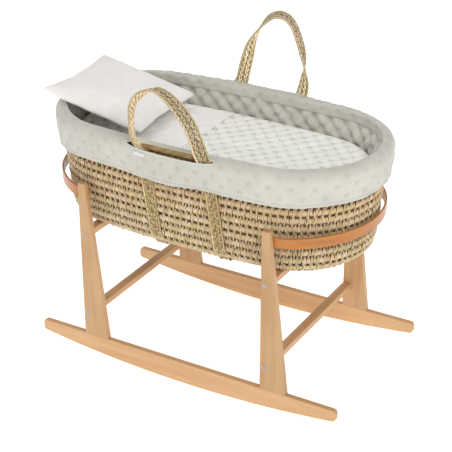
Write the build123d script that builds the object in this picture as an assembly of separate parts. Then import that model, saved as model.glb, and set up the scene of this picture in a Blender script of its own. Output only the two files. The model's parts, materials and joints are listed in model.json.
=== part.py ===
from build123d import *
import math
import os

# Moses basket on a knock-down rocking stand.
#
# Millimetres. +X points to the foot end, +Y across the basket, +Z up. The floor is z = 0 and the
# origin is under the middle of the whole object. The four uprights stand on two long rockers, two
# pairs of cross rails tie the sides together, and the woven basket rests on the upper rails between
# two bent-wood hoops. The quilted liner, the bedding and the pillow lie in the basket.

# ---------------------------------------------------------------- stand, driving sizes
BOARD = 15.0                 # thickness of the rockers and the uprights
STAND_WIDTH = 470.0          # over the outer faces of the two sides
ROCKER_LENGTH = 840.0
ROCKER_DEPTH = 58.0          # in the middle of the rocker
ROCKER_TIP_DEPTH = 29.0      # at both ends, the underside is one long arc
ROCKER_CORNER = 9.0          # rounding of the ends
EDGE_ROUND = 2.0             # softened long edges of all boards
UPRIGHT_HEIGHT = 422.0
UPRIGHT_FOOT_WIDTH = 70.0
UPRIGHT_TOP_WIDTH = 20.0
HEAD_EDGE_X = -288.0         # vertical edge of the head uprights, from the middle of the stand
FOOT_EDGE_X = 218.0          # vertical edge of the foot uprights
RAIL_WIDTH = 23.0
RAIL_HEIGHT = 17.0
RAIL_INSET = 12.0            # middle of a rail from the upright's vertical edge
LOWER_RAIL_RISE = 61.0       # middle of a lower rail above the rockers
UPPER_RAIL_RISE = 284.0      # middle of an upper rail above the rockers

# ---------------------------------------------------------------- basket, driving sizes
BASKET_FROM_STAND = -24.0    # middle of the basket from the middle of the stand
BASKET_HALF_LENGTH = 400.0   # outside of the woven wall at its foot line
BASKET_HALF_WIDTH = 200.0
BASKET_END_RADIUS = 189.0
WALL = 9.0                   # thickness of the woven wall
WALL_FLARE = 22.0            # how far the wall leans out from the foot line to its top
BASKET_LIFT = 0.3            # play between the upper rails and the woven floor
FLOOR_THICKNESS = 8.0
FLOOR_INSET = 24.0           # edge of the flat underside, inside the foot line
WALL_TUCK = 12.0             # lowest edge of the wall, inside the foot line
FOOT_LINE_RISE = 21.0        # foot line above the underside
WALL_RISE = 253.0            # top of the wall above the underside
ROPE_RADIUS = 7.0            # woven border on top of the wall
STRAP_WIDTH = 33.0           # braided carrying strap
STRAP_THICKNESS = 6.0
STRAP_HALF_SPACING = 87.0
STRAP_CENTRE = 17.5          # middle of the two straps from the middle of the basket
STRAP_SINK = 0.6             # straps are flat and the wall is bowed, so they lie this far into its bow
STRAP_TURN = 8.0             # straps level with the floor's top, inside the foot line

# ---------------------------------------------------------------- liner and bedding, driving sizes
SKIRT_THICKNESS = 5.5
SKIRT_DROP = 85.0            # hem below the top of the rim
LINER_GROW = 37.0            # outside of the liner at the rim, from the foot line
HEM_GROW = 30.5              # outside of the liner at its hem
SKIRT_GROW = 36.5            # outside of the liner level with the top of the wall
RIM_SHOULDERS = ((0.0, 10.0), (4.0, 3.0), (12.0, 0.0))  # rounding of the rim: inwards, down
LINER_PAD = 14.0             # padding on the inside of the wall
PAD_GROW = 10.0              # back of the padding along the border, from the foot line
PAD_SHOULDER = 4.0           # the padding leans out up to this far below the top of the wall
RIM_CAP = 4.5                # liner lying over the border
HEM_CORD_RADIUS = 2.5
SLOT_CENTRE = -1.5           # middle of the handle slots from the middle of the basket
SLOT_HALF_LENGTH = 118.0     # slot in the liner for a handle
SLOT_INSIDE = 12.0           # inner long edge of a slot, from the foot line
SLOT_LIP = 1.5               # outer long edge of a slot above the top of the wall
TAPE = 2.0                   # sewn binding along the slots
TAPE_LIP = 3.0
TAG_SIZE = (30.0, 0.8, 8.0)
TAG_X = -82.0                # middle of the tag from the middle of the basket
MATTRESS_THICKNESS = 130.0
MATTRESS_PLAY = 2.5
QUILT_THICKNESS = 65.0
QUILT_PLAY = 2.0
QUILT_EDGE = 12.0            # slanted upper edge of the quilt
SHEET_THICKNESS = 3.0
SHEET_INSET = 16.0           # edge of the top sheet from the inside of the lining
SHEET_EDGE_X = -62.0         # turned-down edge of the top sheet, from the middle of the basket
SHEET_LENGTH = 176.0         # from that edge to the sheet's other edge under the pillow
PILLOW_SIDE = 280.0
PILLOW_CROWN = 150.0         # side of the flat crown on both faces
PILLOW_UP = 34.0             # crown above and below the seam
PILLOW_DOWN = 26.0
PILLOW_TILT = 14.0           # degrees, head edge up on the rim
PILLOW_X = -291.0            # middle of the pillow from the middle of the basket
PILLOW_RISE = 3.0            # middle of the pillow above the rim

# ---------------------------------------------------------------- worked-out places
MODEL_HALF_LENGTH = (BASKET_HALF_LENGTH + LINER_GROW - BASKET_FROM_STAND + ROCKER_LENGTH / 2) / 2
STAND_X = MODEL_HALF_LENGTH - ROCKER_LENGTH / 2
BASKET_X = STAND_X + BASKET_FROM_STAND
SIDE_Y = STAND_WIDTH / 2 - BOARD / 2
INNER_Y = STAND_WIDTH / 2 - BOARD
BASKET_Z = ROCKER_DEPTH + UPPER_RAIL_RISE + RAIL_HEIGHT / 2 + BASKET_LIFT
FOOT_LINE_Z = BASKET_Z + FOOT_LINE_RISE
WALL_TOP_Z = BASKET_Z + WALL_RISE
ROPE_Z = WALL_TOP_Z + ROPE_RADIUS
CAP_Z = ROPE_Z + ROPE_RADIUS + 0.5
RIM_Z = CAP_Z + RIM_CAP
HEM_Z = RIM_Z - SKIRT_DROP
SLOT_Z = WALL_TOP_Z + SLOT_LIP
GAP = 0.5                    # play between soft pieces that lie on each other
MATTRESS_Z = BASKET_Z + FLOOR_THICKNESS + GAP
QUILT_Z = MATTRESS_Z + MATTRESS_THICKNESS + GAP
SHEET_Z = QUILT_Z + QUILT_THICKNESS + 0.3
UPRIGHT_EDGES = {"head": STAND_X + HEAD_EDGE_X, "foot": STAND_X + FOOT_EDGE_X}
SIDES = {"near": -1, "far": 1}
RAIL_RISES = {"lower": LOWER_RAIL_RISE, "upper": UPPER_RAIL_RISE}

# ---------------------------------------------------------------- fasteners
BOLT_RADIUS = 3.0
BOLT_HEAD_RADIUS = 5.0
BOLT_HEAD_HEIGHT = 3.0
BOLT_HEAD_PROUD = 0.8        # the head stands this far out of its recess
BOLT_REACH = 40.0            # bolt tip past the inner face of the upright
BOLT_SOCKET = 4.0            # hexagon across flats
BOLT_SOCKET_DEPTH = 2.0
NUT_RADIUS = 5.0
NUT_LENGTH = 13.0
NUT_BORE_PLAY = 0.05
NUT_HOLE_SKIN = 1.5          # wood left above a barrel nut's hole
NUT_FROM_END = 32.0          # middle of the barrel nut from the rail's end
DOWEL_RADIUS = 4.0
DOWEL_LENGTH = 36.0
DOWEL_INSETS = (16.0, 52.0)  # from the upright's vertical edge
HOLE_PLAY = 0.2
SCREW_RADIUS = 1.8
SCREW_HEAD_RADIUS = 3.6
SCREW_HEAD_HEIGHT = 1.6
SCREW_DEPTH = 10.0           # into the upright

# ---------------------------------------------------------------- hoops
HOOP_HEIGHT = 26.0
HOOP_THICKNESS = 5.0
HOOP_RISE = 391.0            # middle of the hoop above the rockers
HOOP_START = 242.0           # end of the straight stretch, from the middle of the basket
HOOP_BEND = 258.0            # where the straight stretch starts to bend
HOOP_CORNER_TURN = 30.0      # degrees turned in the tight bend beside the upright
HOOP_TIP = 422.0             # middle of the strip round the end, from the middle of the basket
HOOP_SCREW_X = 250.0
HOOP_PLAY = 0.1              # between a hoop's end and the upright it is screwed to

# ---------------------------------------------------------------- handles
HANDLE_Z = RIM_Z - 1.0       # line that a handle turns about
HANDLE_Y = BASKET_HALF_WIDTH + WALL_FLARE + 6.5
HANDLE_LEG = 60.0            # straight part of a leg above the turning line
HANDLE_FOOT = 1.5            # a leg reaches this far below the turning line
HANDLE_OVERLAP = 3.0         # leg and arch run into each other
HANDLE_TOP_WIDTH = 28.0      # the strap is turned flat over the top
HANDLE_REACH_Y = 242.0       # middle of the strap's top from the middle of the basket
HANDLES = {
    # side: (sign of y, middle of the legs from the middle of the basket, half their spacing,
    #        rise of the top over the turning line, shift of the top towards the foot)
    "near": (-1, -11.0, 86.0, 155.0, -15.0),
    "far": (1, 11.0, 87.0, 192.0, 18.0),
}


def cylinder_between(start, direction, radius, length):
    """Round bar that starts at a point and runs along a unit direction."""
    plane = Plane(origin=start, z_dir=direction)
    return extrude(plane * Circle(radius), amount=length)


def join(solids):
    """All solids of one node as one compound of separate pieces."""
    return Compound(children=list(solids))


def save(node, shape):
    shape.label = node
    export_step(shape, f"parts/{node}.step")


# ================================================================ stand

def dowel_axes(end):
    """x of the two dowels under an upright."""
    return [UPRIGHT_EDGES[end] + inset for inset in DOWEL_INSETS]


def rocker(side):
    """Long curved runner: straight top, one shallow arc below, rounded ends."""
    half = ROCKER_LENGTH / 2
    tip_z = ROCKER_DEPTH - ROCKER_TIP_DEPTH
    outline = [
        Line((-half, ROCKER_DEPTH), (half, ROCKER_DEPTH)),
        Line((half, ROCKER_DEPTH), (half, tip_z)),
        ThreePointArc((half, tip_z), (0, 0), (-half, tip_z)),
        Line((-half, tip_z), (-half, ROCKER_DEPTH)),
    ]
    board = extrude(Plane.XZ * make_face(outline), amount=BOARD / 2, both=True)
    board = fillet(board.edges().filter_by(Axis.Y), ROCKER_CORNER)
    rims = board.faces().filter_by(Axis.Y).edges()
    board = fillet(rims, EDGE_ROUND)
    board = Pos(STAND_X, SIDES[side] * SIDE_Y, 0) * board
    depth = DOWEL_LENGTH / 2 + 1
    for end in UPRIGHT_EDGES:
        for x in dowel_axes(end):
            start = (x, SIDES[side] * SIDE_Y, ROCKER_DEPTH)
            board -= cylinder_between(start, (0, 0, -1), DOWEL_RADIUS + HOLE_PLAY / 2, depth)
    return board


def upright(end, side):
    """Board that narrows upwards: one vertical edge towards the head, one sloping towards the foot."""
    sign = SIDES[side]
    outline = Polyline(
        (0, 0),
        (UPRIGHT_FOOT_WIDTH, 0),
        (UPRIGHT_TOP_WIDTH, UPRIGHT_HEIGHT),
        (0, UPRIGHT_HEIGHT),
        close=True,
    )
    board = extrude(Plane.XZ * make_face(outline), amount=BOARD / 2, both=True)
    softened = board.edges().filter_by(lambda e: e.center().Z > 1.0)
    board = fillet(softened, EDGE_ROUND)
    board = Pos(UPRIGHT_EDGES[end], sign * SIDE_Y, ROCKER_DEPTH) * board
    outer_y = sign * STAND_WIDTH / 2
    for rise in RAIL_RISES.values():
        start = (UPRIGHT_EDGES[end] + RAIL_INSET, outer_y, ROCKER_DEPTH + rise)
        board -= cylinder_between(start, (0, -sign, 0), BOLT_RADIUS + HOLE_PLAY, BOARD)
        recess = BOLT_HEAD_HEIGHT - BOLT_HEAD_PROUD + HOLE_PLAY
        board -= cylinder_between(start, (0, -sign, 0), BOLT_HEAD_RADIUS + HOLE_PLAY, recess)
    for x in dowel_axes(end):
        start = (x, sign * SIDE_Y, ROCKER_DEPTH)
        board -= cylinder_between(start, (0, 0, 1), DOWEL_RADIUS + HOLE_PLAY / 2, DOWEL_LENGTH / 2 + 1)
    start = (hoop_screw_x(end), sign * INNER_Y, ROCKER_DEPTH + HOOP_RISE)
    board -= cylinder_between(start, (0, sign, 0), SCREW_RADIUS + HOLE_PLAY / 2, SCREW_DEPTH + 1)
    return board


def rail(end, level):
    """Cross rail between the two sides, drilled at both ends for a bolt and its barrel nut."""
    length = 2 * INNER_Y
    bar = Box(RAIL_WIDTH, length, RAIL_HEIGHT)
    bar = fillet(bar.edges().filter_by(Axis.Y), EDGE_ROUND)
    bar = Pos(UPRIGHT_EDGES[end] + RAIL_INSET, 0, ROCKER_DEPTH + RAIL_RISES[level]) * bar
    middle = bar.center()
    for sign in SIDES.values():
        start = (middle.X, sign * INNER_Y, middle.Z)
        bar -= cylinder_between(start, (0, -sign, 0), BOLT_RADIUS + HOLE_PLAY, BOLT_REACH + 1)
        nut_foot = (middle.X, sign * (INNER_Y - NUT_FROM_END), middle.Z - RAIL_HEIGHT / 2)
        bar -= cylinder_between(nut_foot, (0, 0, 1), NUT_RADIUS + HOLE_PLAY / 2, RAIL_HEIGHT - NUT_HOLE_SKIN)
    return bar


def rail_bolts():
    """Eight socket-head bolts, one at each end of each rail."""
    solids = []
    for end in UPRIGHT_EDGES:
        for rise in RAIL_RISES.values():
            for sign in SIDES.values():
                top = (
                    UPRIGHT_EDGES[end] + RAIL_INSET,
                    sign * (STAND_WIDTH / 2 + BOLT_HEAD_PROUD),
                    ROCKER_DEPTH + rise,
                )
                inwards = (0, -sign, 0)
                length = BOLT_HEAD_PROUD + BOARD + BOLT_REACH
                bolt = cylinder_between(top, inwards, BOLT_RADIUS, length)
                bolt += cylinder_between(top, inwards, BOLT_HEAD_RADIUS, BOLT_HEAD_HEIGHT)
                hexagon = RegularPolygon(BOLT_SOCKET / 2, 6, major_radius=False)
                bolt -= extrude(Plane(origin=top, z_dir=inwards) * hexagon, amount=BOLT_SOCKET_DEPTH)
                solids.append(bolt.solid())
    return join(solids)


def barrel_nuts():
    """Eight cross dowels inside the rails that the bolts screw into."""
    solids = []
    for end in UPRIGHT_EDGES:
        for rise in RAIL_RISES.values():
            for sign in SIDES.values():
                x = UPRIGHT_EDGES[end] + RAIL_INSET
                y = sign * (INNER_Y - NUT_FROM_END)
                z = ROCKER_DEPTH + rise
                nut = cylinder_between((x, y, z - NUT_LENGTH / 2), (0, 0, 1), NUT_RADIUS, NUT_LENGTH)
                bore_radius = BOLT_RADIUS + NUT_BORE_PLAY
                nut -= cylinder_between((x, y - 2 * NUT_RADIUS, z), (0, 1, 0), bore_radius, 4 * NUT_RADIUS)
                solids.append(nut.solid())
    return join(solids)


def upright_dowels():
    """Eight glued dowels between the uprights and the rockers."""
    solids = []
    for end in UPRIGHT_EDGES:
        for x in dowel_axes(end):
            for sign in SIDES.values():
                start = (x, sign * SIDE_Y, ROCKER_DEPTH - DOWEL_LENGTH / 2)
                solids.append(cylinder_between(start, (0, 0, 1), DOWEL_RADIUS, DOWEL_LENGTH).solid())
    return join(solids)


def hoop_direction(end):
    return -1 if end == "head" else 1


def hoop_screw_x(end):
    return BASKET_X + hoop_direction(end) * HOOP_SCREW_X


def hoop_outline(outwards):
    """Lines and arcs of a foot hoop's middle line, moved outwards by a distance."""
    line_y = INNER_Y - HOOP_THICKNESS / 2 - HOOP_PLAY
    turn = math.radians(HOOP_CORNER_TURN)
    run = HOOP_TIP - HOOP_BEND
    share = math.sin(turn)
    drop = math.cos(turn)
    tip_radius = (line_y - run * (1 - drop) / share) / (drop - (1 - drop) * (1 - share) / share)
    corner_radius = (run - tip_radius * (1 - share)) / share
    tip_centre_x = HOOP_TIP - tip_radius
    tip = tip_radius + outwards
    corner = corner_radius + outwards
    y = line_y + outwards
    half_turn = turn / 2
    corner_centre_y = line_y - corner_radius
    joint = (tip_centre_x + tip * share, tip * drop)
    middle = (HOOP_BEND + corner * math.sin(half_turn), corner_centre_y + corner * math.cos(half_turn))
    return [
        Line((HOOP_START, -y), (HOOP_BEND, -y)),
        ThreePointArc((HOOP_BEND, -y), (middle[0], -middle[1]), (joint[0], -joint[1])),
        ThreePointArc((joint[0], -joint[1]), (HOOP_TIP + outwards, 0), joint),
        ThreePointArc(joint, middle, (HOOP_BEND, y)),
        Line((HOOP_BEND, y), (HOOP_START, y)),
    ]


def hoop(end):
    """Bent-wood strip round one end of the basket, screwed to the inner faces of two uprights."""
    half = HOOP_THICKNESS / 2
    outer = hoop_outline(half)
    inner = hoop_outline(-half)
    ends = [Line(outer[0] @ 0, inner[0] @ 0), Line(outer[-1] @ 1, inner[-1] @ 1)]
    strip = extrude(make_face(outer + inner + ends), amount=HOOP_HEIGHT / 2, both=True)
    if end == "head":
        strip = mirror(strip, about=Plane.YZ)
    z = ROCKER_DEPTH + HOOP_RISE
    strip = Pos(BASKET_X, 0, z) * strip
    for sign in SIDES.values():
        start = (hoop_screw_x(end), sign * (INNER_Y - 2 * HOOP_THICKNESS), z)
        strip -= cylinder_between(start, (0, sign, 0), SCREW_RADIUS + HOLE_PLAY / 2, 3 * HOOP_THICKNESS)
    return strip


def hoop_screws():
    """Four round-head screws that hold the hoops, heads towards the basket."""
    solids = []
    for end in UPRIGHT_EDGES:
        for sign in SIDES.values():
            seat = INNER_Y - HOOP_THICKNESS - 2 * HOOP_PLAY
            start = (hoop_screw_x(end), sign * seat, ROCKER_DEPTH + HOOP_RISE)
            screw = cylinder_between(start, (0, sign, 0), SCREW_RADIUS, HOOP_THICKNESS + SCREW_DEPTH)
            screw += cylinder_between(start, (0, -sign, 0), SCREW_HEAD_RADIUS, SCREW_HEAD_HEIGHT)
            solids.append(screw.solid())
    return join(solids)


# ================================================================ basket

def oval(grow, z):
    """Flat oval of four tangent arcs, `grow` outside the basket's foot line, at height z."""
    half_length = BASKET_HALF_LENGTH + grow
    half_width = BASKET_HALF_WIDTH + grow
    end_radius = BASKET_END_RADIUS + grow
    end_x = half_length - end_radius
    side_radius = end_x**2 / (2 * (half_width - end_radius)) + (half_width + end_radius) / 2
    turn = math.atan2(side_radius - half_width, end_x)
    x = end_x + end_radius * math.cos(turn)
    y = end_radius * math.sin(turn)
    arcs = [
        ThreePointArc((x, -y), (half_length, 0), (x, y)),
        ThreePointArc((x, y), (0, half_width), (-x, y)),
        ThreePointArc((-x, y), (-half_length, 0), (-x, -y)),
        ThreePointArc((-x, -y), (0, -half_width), (x, -y)),
    ]
    return Pos(BASKET_X, 0, z) * make_face(arcs)


def stack(levels):
    """Solid through ovals given as (grow, z), straight from each one to the next."""
    return loft([oval(grow, z) for grow, z in levels], ruled=True)


def ring(levels, thickness):
    """Wall of one thickness inside the ovals given as (grow, z)."""
    inside = [(grow - thickness, z) for grow, z in levels]
    return stack(levels) - stack(inside)


def oval_tube(grow, z, radius):
    """Round cord laid along one oval."""
    path = oval(grow, z).wire()
    profile = Plane(origin=path @ 0, z_dir=path % 0) * Circle(radius)
    return sweep(profile, path=path)


def wall_grow(z):
    """Outside of the woven wall at height z."""
    if z <= FOOT_LINE_Z:
        return -WALL_TUCK * (FOOT_LINE_Z - z) / (FOOT_LINE_RISE - FLOOR_THICKNESS)
    return WALL_FLARE * (z - FOOT_LINE_Z) / (WALL_TOP_Z - FOOT_LINE_Z)


def basket_floor():
    """Woven floor with its edge turned up to meet the wall."""
    top_z = BASKET_Z + FLOOR_THICKNESS
    return stack([(-FLOOR_INSET, BASKET_Z), (wall_grow(top_z), top_z)])


def basket_wall():
    """Woven wall, rounded in at its foot and flaring up to the border."""
    foot_z = BASKET_Z + FLOOR_THICKNESS
    levels = [(wall_grow(z), z) for z in (foot_z, FOOT_LINE_Z, WALL_TOP_Z)]
    return ring(levels, WALL)


def rim_rope():
    """Thick woven border along the top of the wall."""
    return oval_tube(WALL_FLARE - WALL / 2, ROPE_Z, ROPE_RADIUS)


def strap(direction):
    """Braided strap down one side of the basket, under its floor and up the other side."""
    half = BASKET_HALF_WIDTH - STRAP_SINK
    right = [
        (half - FLOOR_INSET, BASKET_Z - 0.1),
        (half - STRAP_TURN, BASKET_Z + FLOOR_THICKNESS),
        (half, FOOT_LINE_Z),
        (half + WALL_FLARE, WALL_TOP_Z),
    ]
    left = [(-y, z) for y, z in reversed(right)]
    core = make_face(Polyline(*right, *left, close=True))
    band = offset(core, amount=STRAP_THICKNESS, kind=Kind.ARC) - core
    above = Rectangle(4 * BASKET_HALF_WIDTH, 2 * BASKET_HALF_WIDTH)
    band -= Pos(0, WALL_TOP_Z + BASKET_HALF_WIDTH) * above
    x = BASKET_X + STRAP_CENTRE + direction * STRAP_HALF_SPACING
    return extrude(Plane.YZ.offset(x) * band, amount=STRAP_WIDTH / 2, both=True)


# ================================================================ liner

def slot_cutter(sign):
    """Room in the liner's turned-over edge for one handle."""
    beyond = 5.0
    depth = LINER_GROW + beyond - SLOT_INSIDE
    middle_y = BASKET_HALF_WIDTH + SLOT_INSIDE + depth / 2
    block = Box(2 * SLOT_HALF_LENGTH, depth, RIM_Z + beyond - SLOT_Z,
                align=(Align.CENTER, Align.CENTER, Align.MIN))
    return Pos(BASKET_X + SLOT_CENTRE, sign * middle_y, SLOT_Z) * block


def liner_wall():
    """Padded lining on the inside of the wall, up to the border."""
    foot_z = BASKET_Z + FLOOR_THICKNESS + GAP
    levels = [
        (wall_grow(foot_z) - WALL - GAP, foot_z),
        (-WALL - GAP, FOOT_LINE_Z),
        (PAD_GROW, WALL_TOP_Z - PAD_SHOULDER),
        (PAD_GROW, CAP_Z - 0.2),
    ]
    return ring(levels, LINER_PAD)


def liner_skirt():
    """Turned-over part of the liner: it lies over the border and hangs outside the wall."""
    outside = [(HEM_GROW, HEM_Z), (SKIRT_GROW, WALL_TOP_Z)]
    outside += [(LINER_GROW - inwards, RIM_Z - down) for inwards, down in RIM_SHOULDERS]
    under = [
        (HEM_GROW - SKIRT_THICKNESS, HEM_Z),
        (SKIRT_GROW - SKIRT_THICKNESS, WALL_TOP_Z),
        (SKIRT_GROW - SKIRT_THICKNESS, CAP_Z),
    ]
    mouth_grow = PAD_GROW - LINER_PAD
    skirt = stack(outside) - stack(under) - stack([(mouth_grow, CAP_Z - 1), (mouth_grow, RIM_Z + 1)])
    for sign in SIDES.values():
        skirt -= slot_cutter(sign)
    return skirt


def hem_cord():
    """Elastic cord in the hem of the skirt."""
    grow = HEM_GROW - HEM_CORD_RADIUS
    return oval_tube(grow, HEM_Z - HEM_CORD_RADIUS - 0.1, HEM_CORD_RADIUS)


def slot_binding(side):
    """Sewn tape along the two long edges of a handle slot."""
    sign = SIDES[side]
    length = 2 * (SLOT_HALF_LENGTH - TAPE)
    align = (Align.CENTER, Align.CENTER, Align.MIN)
    lip = Box(length, TAPE_LIP, TAPE, align=align)
    lip_y = BASKET_HALF_WIDTH + SKIRT_GROW - SKIRT_THICKNESS / 2 - 0.5
    edge = Box(length, TAPE, RIM_CAP - 1, align=align)
    edge_y = BASKET_HALF_WIDTH + SLOT_INSIDE + TAPE / 2 + 0.1
    x = BASKET_X + SLOT_CENTRE
    pieces = [
        Pos(x, sign * lip_y, SLOT_Z + 0.1) * lip,
        Pos(x, sign * edge_y, CAP_Z + 0.5) * edge,
    ]
    return join([piece.solid() for piece in pieces])


def liner_tag():
    """Small plain tag sewn under the near handle slot."""
    y = -(BASKET_HALF_WIDTH + LINER_GROW + 0.5)
    return Pos(BASKET_X + TAG_X, y, SLOT_Z - TAG_SIZE[2] * 0.75) * Box(*TAG_SIZE)


# ================================================================ handles

def handle(side):
    """Braided strap handle: two flat legs and an arch over which the strap lies flat."""
    sign, centre, half_spacing, rise, shift = HANDLES[side]
    arch_rise = rise - HANDLE_LEG
    half = STRAP_THICKNESS / 2
    quarters = []
    for direction in (-1, 1):
        reach = half_spacing - direction * shift
        band = Ellipse(reach + half, arch_rise + half) - Ellipse(reach - half, arch_rise - half)
        window = Pos(direction * 2 * reach, 2 * arch_rise) * Rectangle(4 * reach, 4 * arch_rise)
        quarters.append(Pos(shift, HANDLE_LEG) * (band & window))
    arch = extrude(Plane.XZ * (quarters[0] + quarters[1]), amount=HANDLE_TOP_WIDTH / 2, both=True)
    shape = arch
    for direction in (-1, 1):
        leg = Box(STRAP_WIDTH, STRAP_THICKNESS, HANDLE_FOOT + HANDLE_LEG + HANDLE_OVERLAP,
                  align=(Align.CENTER, Align.CENTER, Align.MIN))
        shape += Pos(direction * half_spacing, 0, -HANDLE_FOOT) * leg
    lean = math.degrees(math.asin((HANDLE_REACH_Y - HANDLE_Y) / rise))
    shape = Rot(-sign * lean, 0, 0) * shape
    return Pos(BASKET_X + centre, sign * HANDLE_Y, HANDLE_Z) * shape


# ================================================================ bedding

def liner_inside(z):
    """Inside of the padded lining at height z, above the foot line."""
    foot = -WALL - GAP - LINER_PAD
    shoulder = PAD_GROW - LINER_PAD
    share = (z - FOOT_LINE_Z) / (WALL_TOP_Z - PAD_SHOULDER - FOOT_LINE_Z)
    return foot + (shoulder - foot) * share


def mattress():
    """Oval foam mattress in its cover."""
    top_z = MATTRESS_Z + MATTRESS_THICKNESS
    foot_grow = liner_inside(FOOT_LINE_Z) - MATTRESS_PLAY
    return stack([
        (foot_grow - WALL_TUCK, MATTRESS_Z),
        (foot_grow, FOOT_LINE_Z),
        (liner_inside(top_z) - MATTRESS_PLAY, top_z),
    ])


def quilt():
    """Thick quilted cover that fills the basket above the mattress."""
    top_z = QUILT_Z + QUILT_THICKNESS
    shoulder_z = top_z - QUILT_EDGE
    shoulder_grow = liner_inside(shoulder_z) - QUILT_PLAY
    return stack([
        (liner_inside(QUILT_Z) - QUILT_PLAY, QUILT_Z),
        (shoulder_grow, shoulder_z),
        (shoulder_grow - QUILT_EDGE, top_z),
    ])


def top_sheet():
    """White sheet across the quilt, from under the pillow to its turned-down edge."""
    grow = liner_inside(SHEET_Z) - SHEET_INSET
    slab = extrude(oval(grow, SHEET_Z), amount=SHEET_THICKNESS)
    band = Box(SHEET_LENGTH, 3 * BASKET_HALF_WIDTH, 10 * SHEET_THICKNESS)
    return slab & (Pos(BASKET_X + SHEET_EDGE_X - SHEET_LENGTH / 2, 0, SHEET_Z) * band)


def pillow():
    """Plump square pillow, its head edge propped on the rim."""
    seam = Rectangle(PILLOW_SIDE, PILLOW_SIDE)
    crown = Rectangle(PILLOW_CROWN, PILLOW_CROWN)
    upper = loft([seam, Pos(0, 0, PILLOW_UP) * crown], ruled=True)
    lower = loft([Pos(0, 0, -PILLOW_DOWN) * crown, seam], ruled=True)
    shape = Rot(0, PILLOW_TILT, 0) * (upper + lower)
    return Pos(BASKET_X + PILLOW_X, 0, RIM_Z + PILLOW_RISE) * shape


# ================================================================ all nodes

def build():
    nodes = {}
    for side in SIDES:
        nodes[f"rocker_{side}"] = rocker(side)
        for end in UPRIGHT_EDGES:
            nodes[f"upright_{end}_{side}"] = upright(end, side)
    for end in UPRIGHT_EDGES:
        for level in RAIL_RISES:
            nodes[f"{level}_rail_{end}"] = rail(end, level)
        nodes[f"hoop_{end}"] = hoop(end)
        nodes[f"strap_{end}"] = strap(hoop_direction(end))
    nodes["rail_bolts"] = rail_bolts()
    nodes["barrel_nuts"] = barrel_nuts()
    nodes["upright_dowels"] = upright_dowels()
    nodes["hoop_screws"] = hoop_screws()
    nodes["basket_floor"] = basket_floor()
    nodes["basket_wall"] = basket_wall()
    nodes["rim_rope"] = rim_rope()
    nodes["liner_wall"] = liner_wall()
    nodes["liner_skirt"] = liner_skirt()
    nodes["hem_cord"] = hem_cord()
    nodes["liner_tag"] = liner_tag()
    for side in SIDES:
        nodes[f"slot_binding_{side}"] = slot_binding(side)
        nodes[f"handle_{side}"] = handle(side)
    nodes["mattress"] = mattress()
    nodes["quilt"] = quilt()
    nodes["top_sheet"] = top_sheet()
    nodes["pillow"] = pillow()
    return nodes


for name, part in build().items():
    save(name, part)
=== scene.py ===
import json
import math

import bmesh
import bpy
import numpy as np
from mathutils import Matrix, Vector


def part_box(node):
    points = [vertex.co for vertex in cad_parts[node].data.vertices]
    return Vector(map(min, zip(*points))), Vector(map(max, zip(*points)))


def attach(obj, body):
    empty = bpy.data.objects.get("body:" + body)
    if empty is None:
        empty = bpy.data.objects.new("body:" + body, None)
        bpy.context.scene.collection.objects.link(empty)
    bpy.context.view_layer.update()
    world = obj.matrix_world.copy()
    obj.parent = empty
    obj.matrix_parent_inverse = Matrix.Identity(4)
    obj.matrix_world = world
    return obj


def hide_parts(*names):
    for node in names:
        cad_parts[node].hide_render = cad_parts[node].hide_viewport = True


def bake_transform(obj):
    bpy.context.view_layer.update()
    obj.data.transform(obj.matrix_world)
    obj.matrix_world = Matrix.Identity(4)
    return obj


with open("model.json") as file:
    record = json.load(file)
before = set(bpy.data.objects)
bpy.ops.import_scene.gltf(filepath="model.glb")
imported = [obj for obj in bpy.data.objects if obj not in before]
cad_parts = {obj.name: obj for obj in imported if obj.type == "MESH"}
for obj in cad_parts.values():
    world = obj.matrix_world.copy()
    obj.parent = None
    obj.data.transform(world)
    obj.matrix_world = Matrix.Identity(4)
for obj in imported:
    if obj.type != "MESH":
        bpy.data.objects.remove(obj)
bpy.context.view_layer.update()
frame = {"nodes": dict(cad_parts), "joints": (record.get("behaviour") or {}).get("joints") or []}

# Metres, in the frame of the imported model: +X to the foot end, +Y to the far side, +Z up, floor at 0.

# -------- places read from the frame
WALL_LOW, WALL_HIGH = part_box("basket_wall")
FLOOR_LOW, FLOOR_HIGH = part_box("basket_floor")
ROPE_LOW, ROPE_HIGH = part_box("rim_rope")
SKIRT_LOW, SKIRT_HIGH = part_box("liner_skirt")
PAD_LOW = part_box("liner_wall")[0]
MATTRESS_LOW, MATTRESS_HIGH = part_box("mattress")
QUILT_LOW, QUILT_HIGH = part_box("quilt")
SHEET_LOW, SHEET_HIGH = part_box("top_sheet")
PILLOW_LOW, PILLOW_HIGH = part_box("pillow")
TAG_LOW, TAG_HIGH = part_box("liner_tag")
SLOT_LOW, SLOT_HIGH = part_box("slot_binding_near")

# -------- basket's plan: four tangent arcs
WALL_FLARE = 0.022           # the wall leans out by this much from its foot line to its top
END_RADIUS = 0.189
CENTRE_X = (WALL_LOW.x + WALL_HIGH.x) / 2
HALF_LENGTH = (WALL_HIGH.x - WALL_LOW.x) / 2 - WALL_FLARE
HALF_WIDTH = (WALL_HIGH.y - WALL_LOW.y) / 2 - WALL_FLARE
END_X = HALF_LENGTH - END_RADIUS
SIDE_RADIUS = END_X**2 / (2 * (HALF_WIDTH - END_RADIUS)) + (HALF_WIDTH + END_RADIUS) / 2
END_TURN = math.atan2(SIDE_RADIUS - HALF_WIDTH, END_X)

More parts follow.
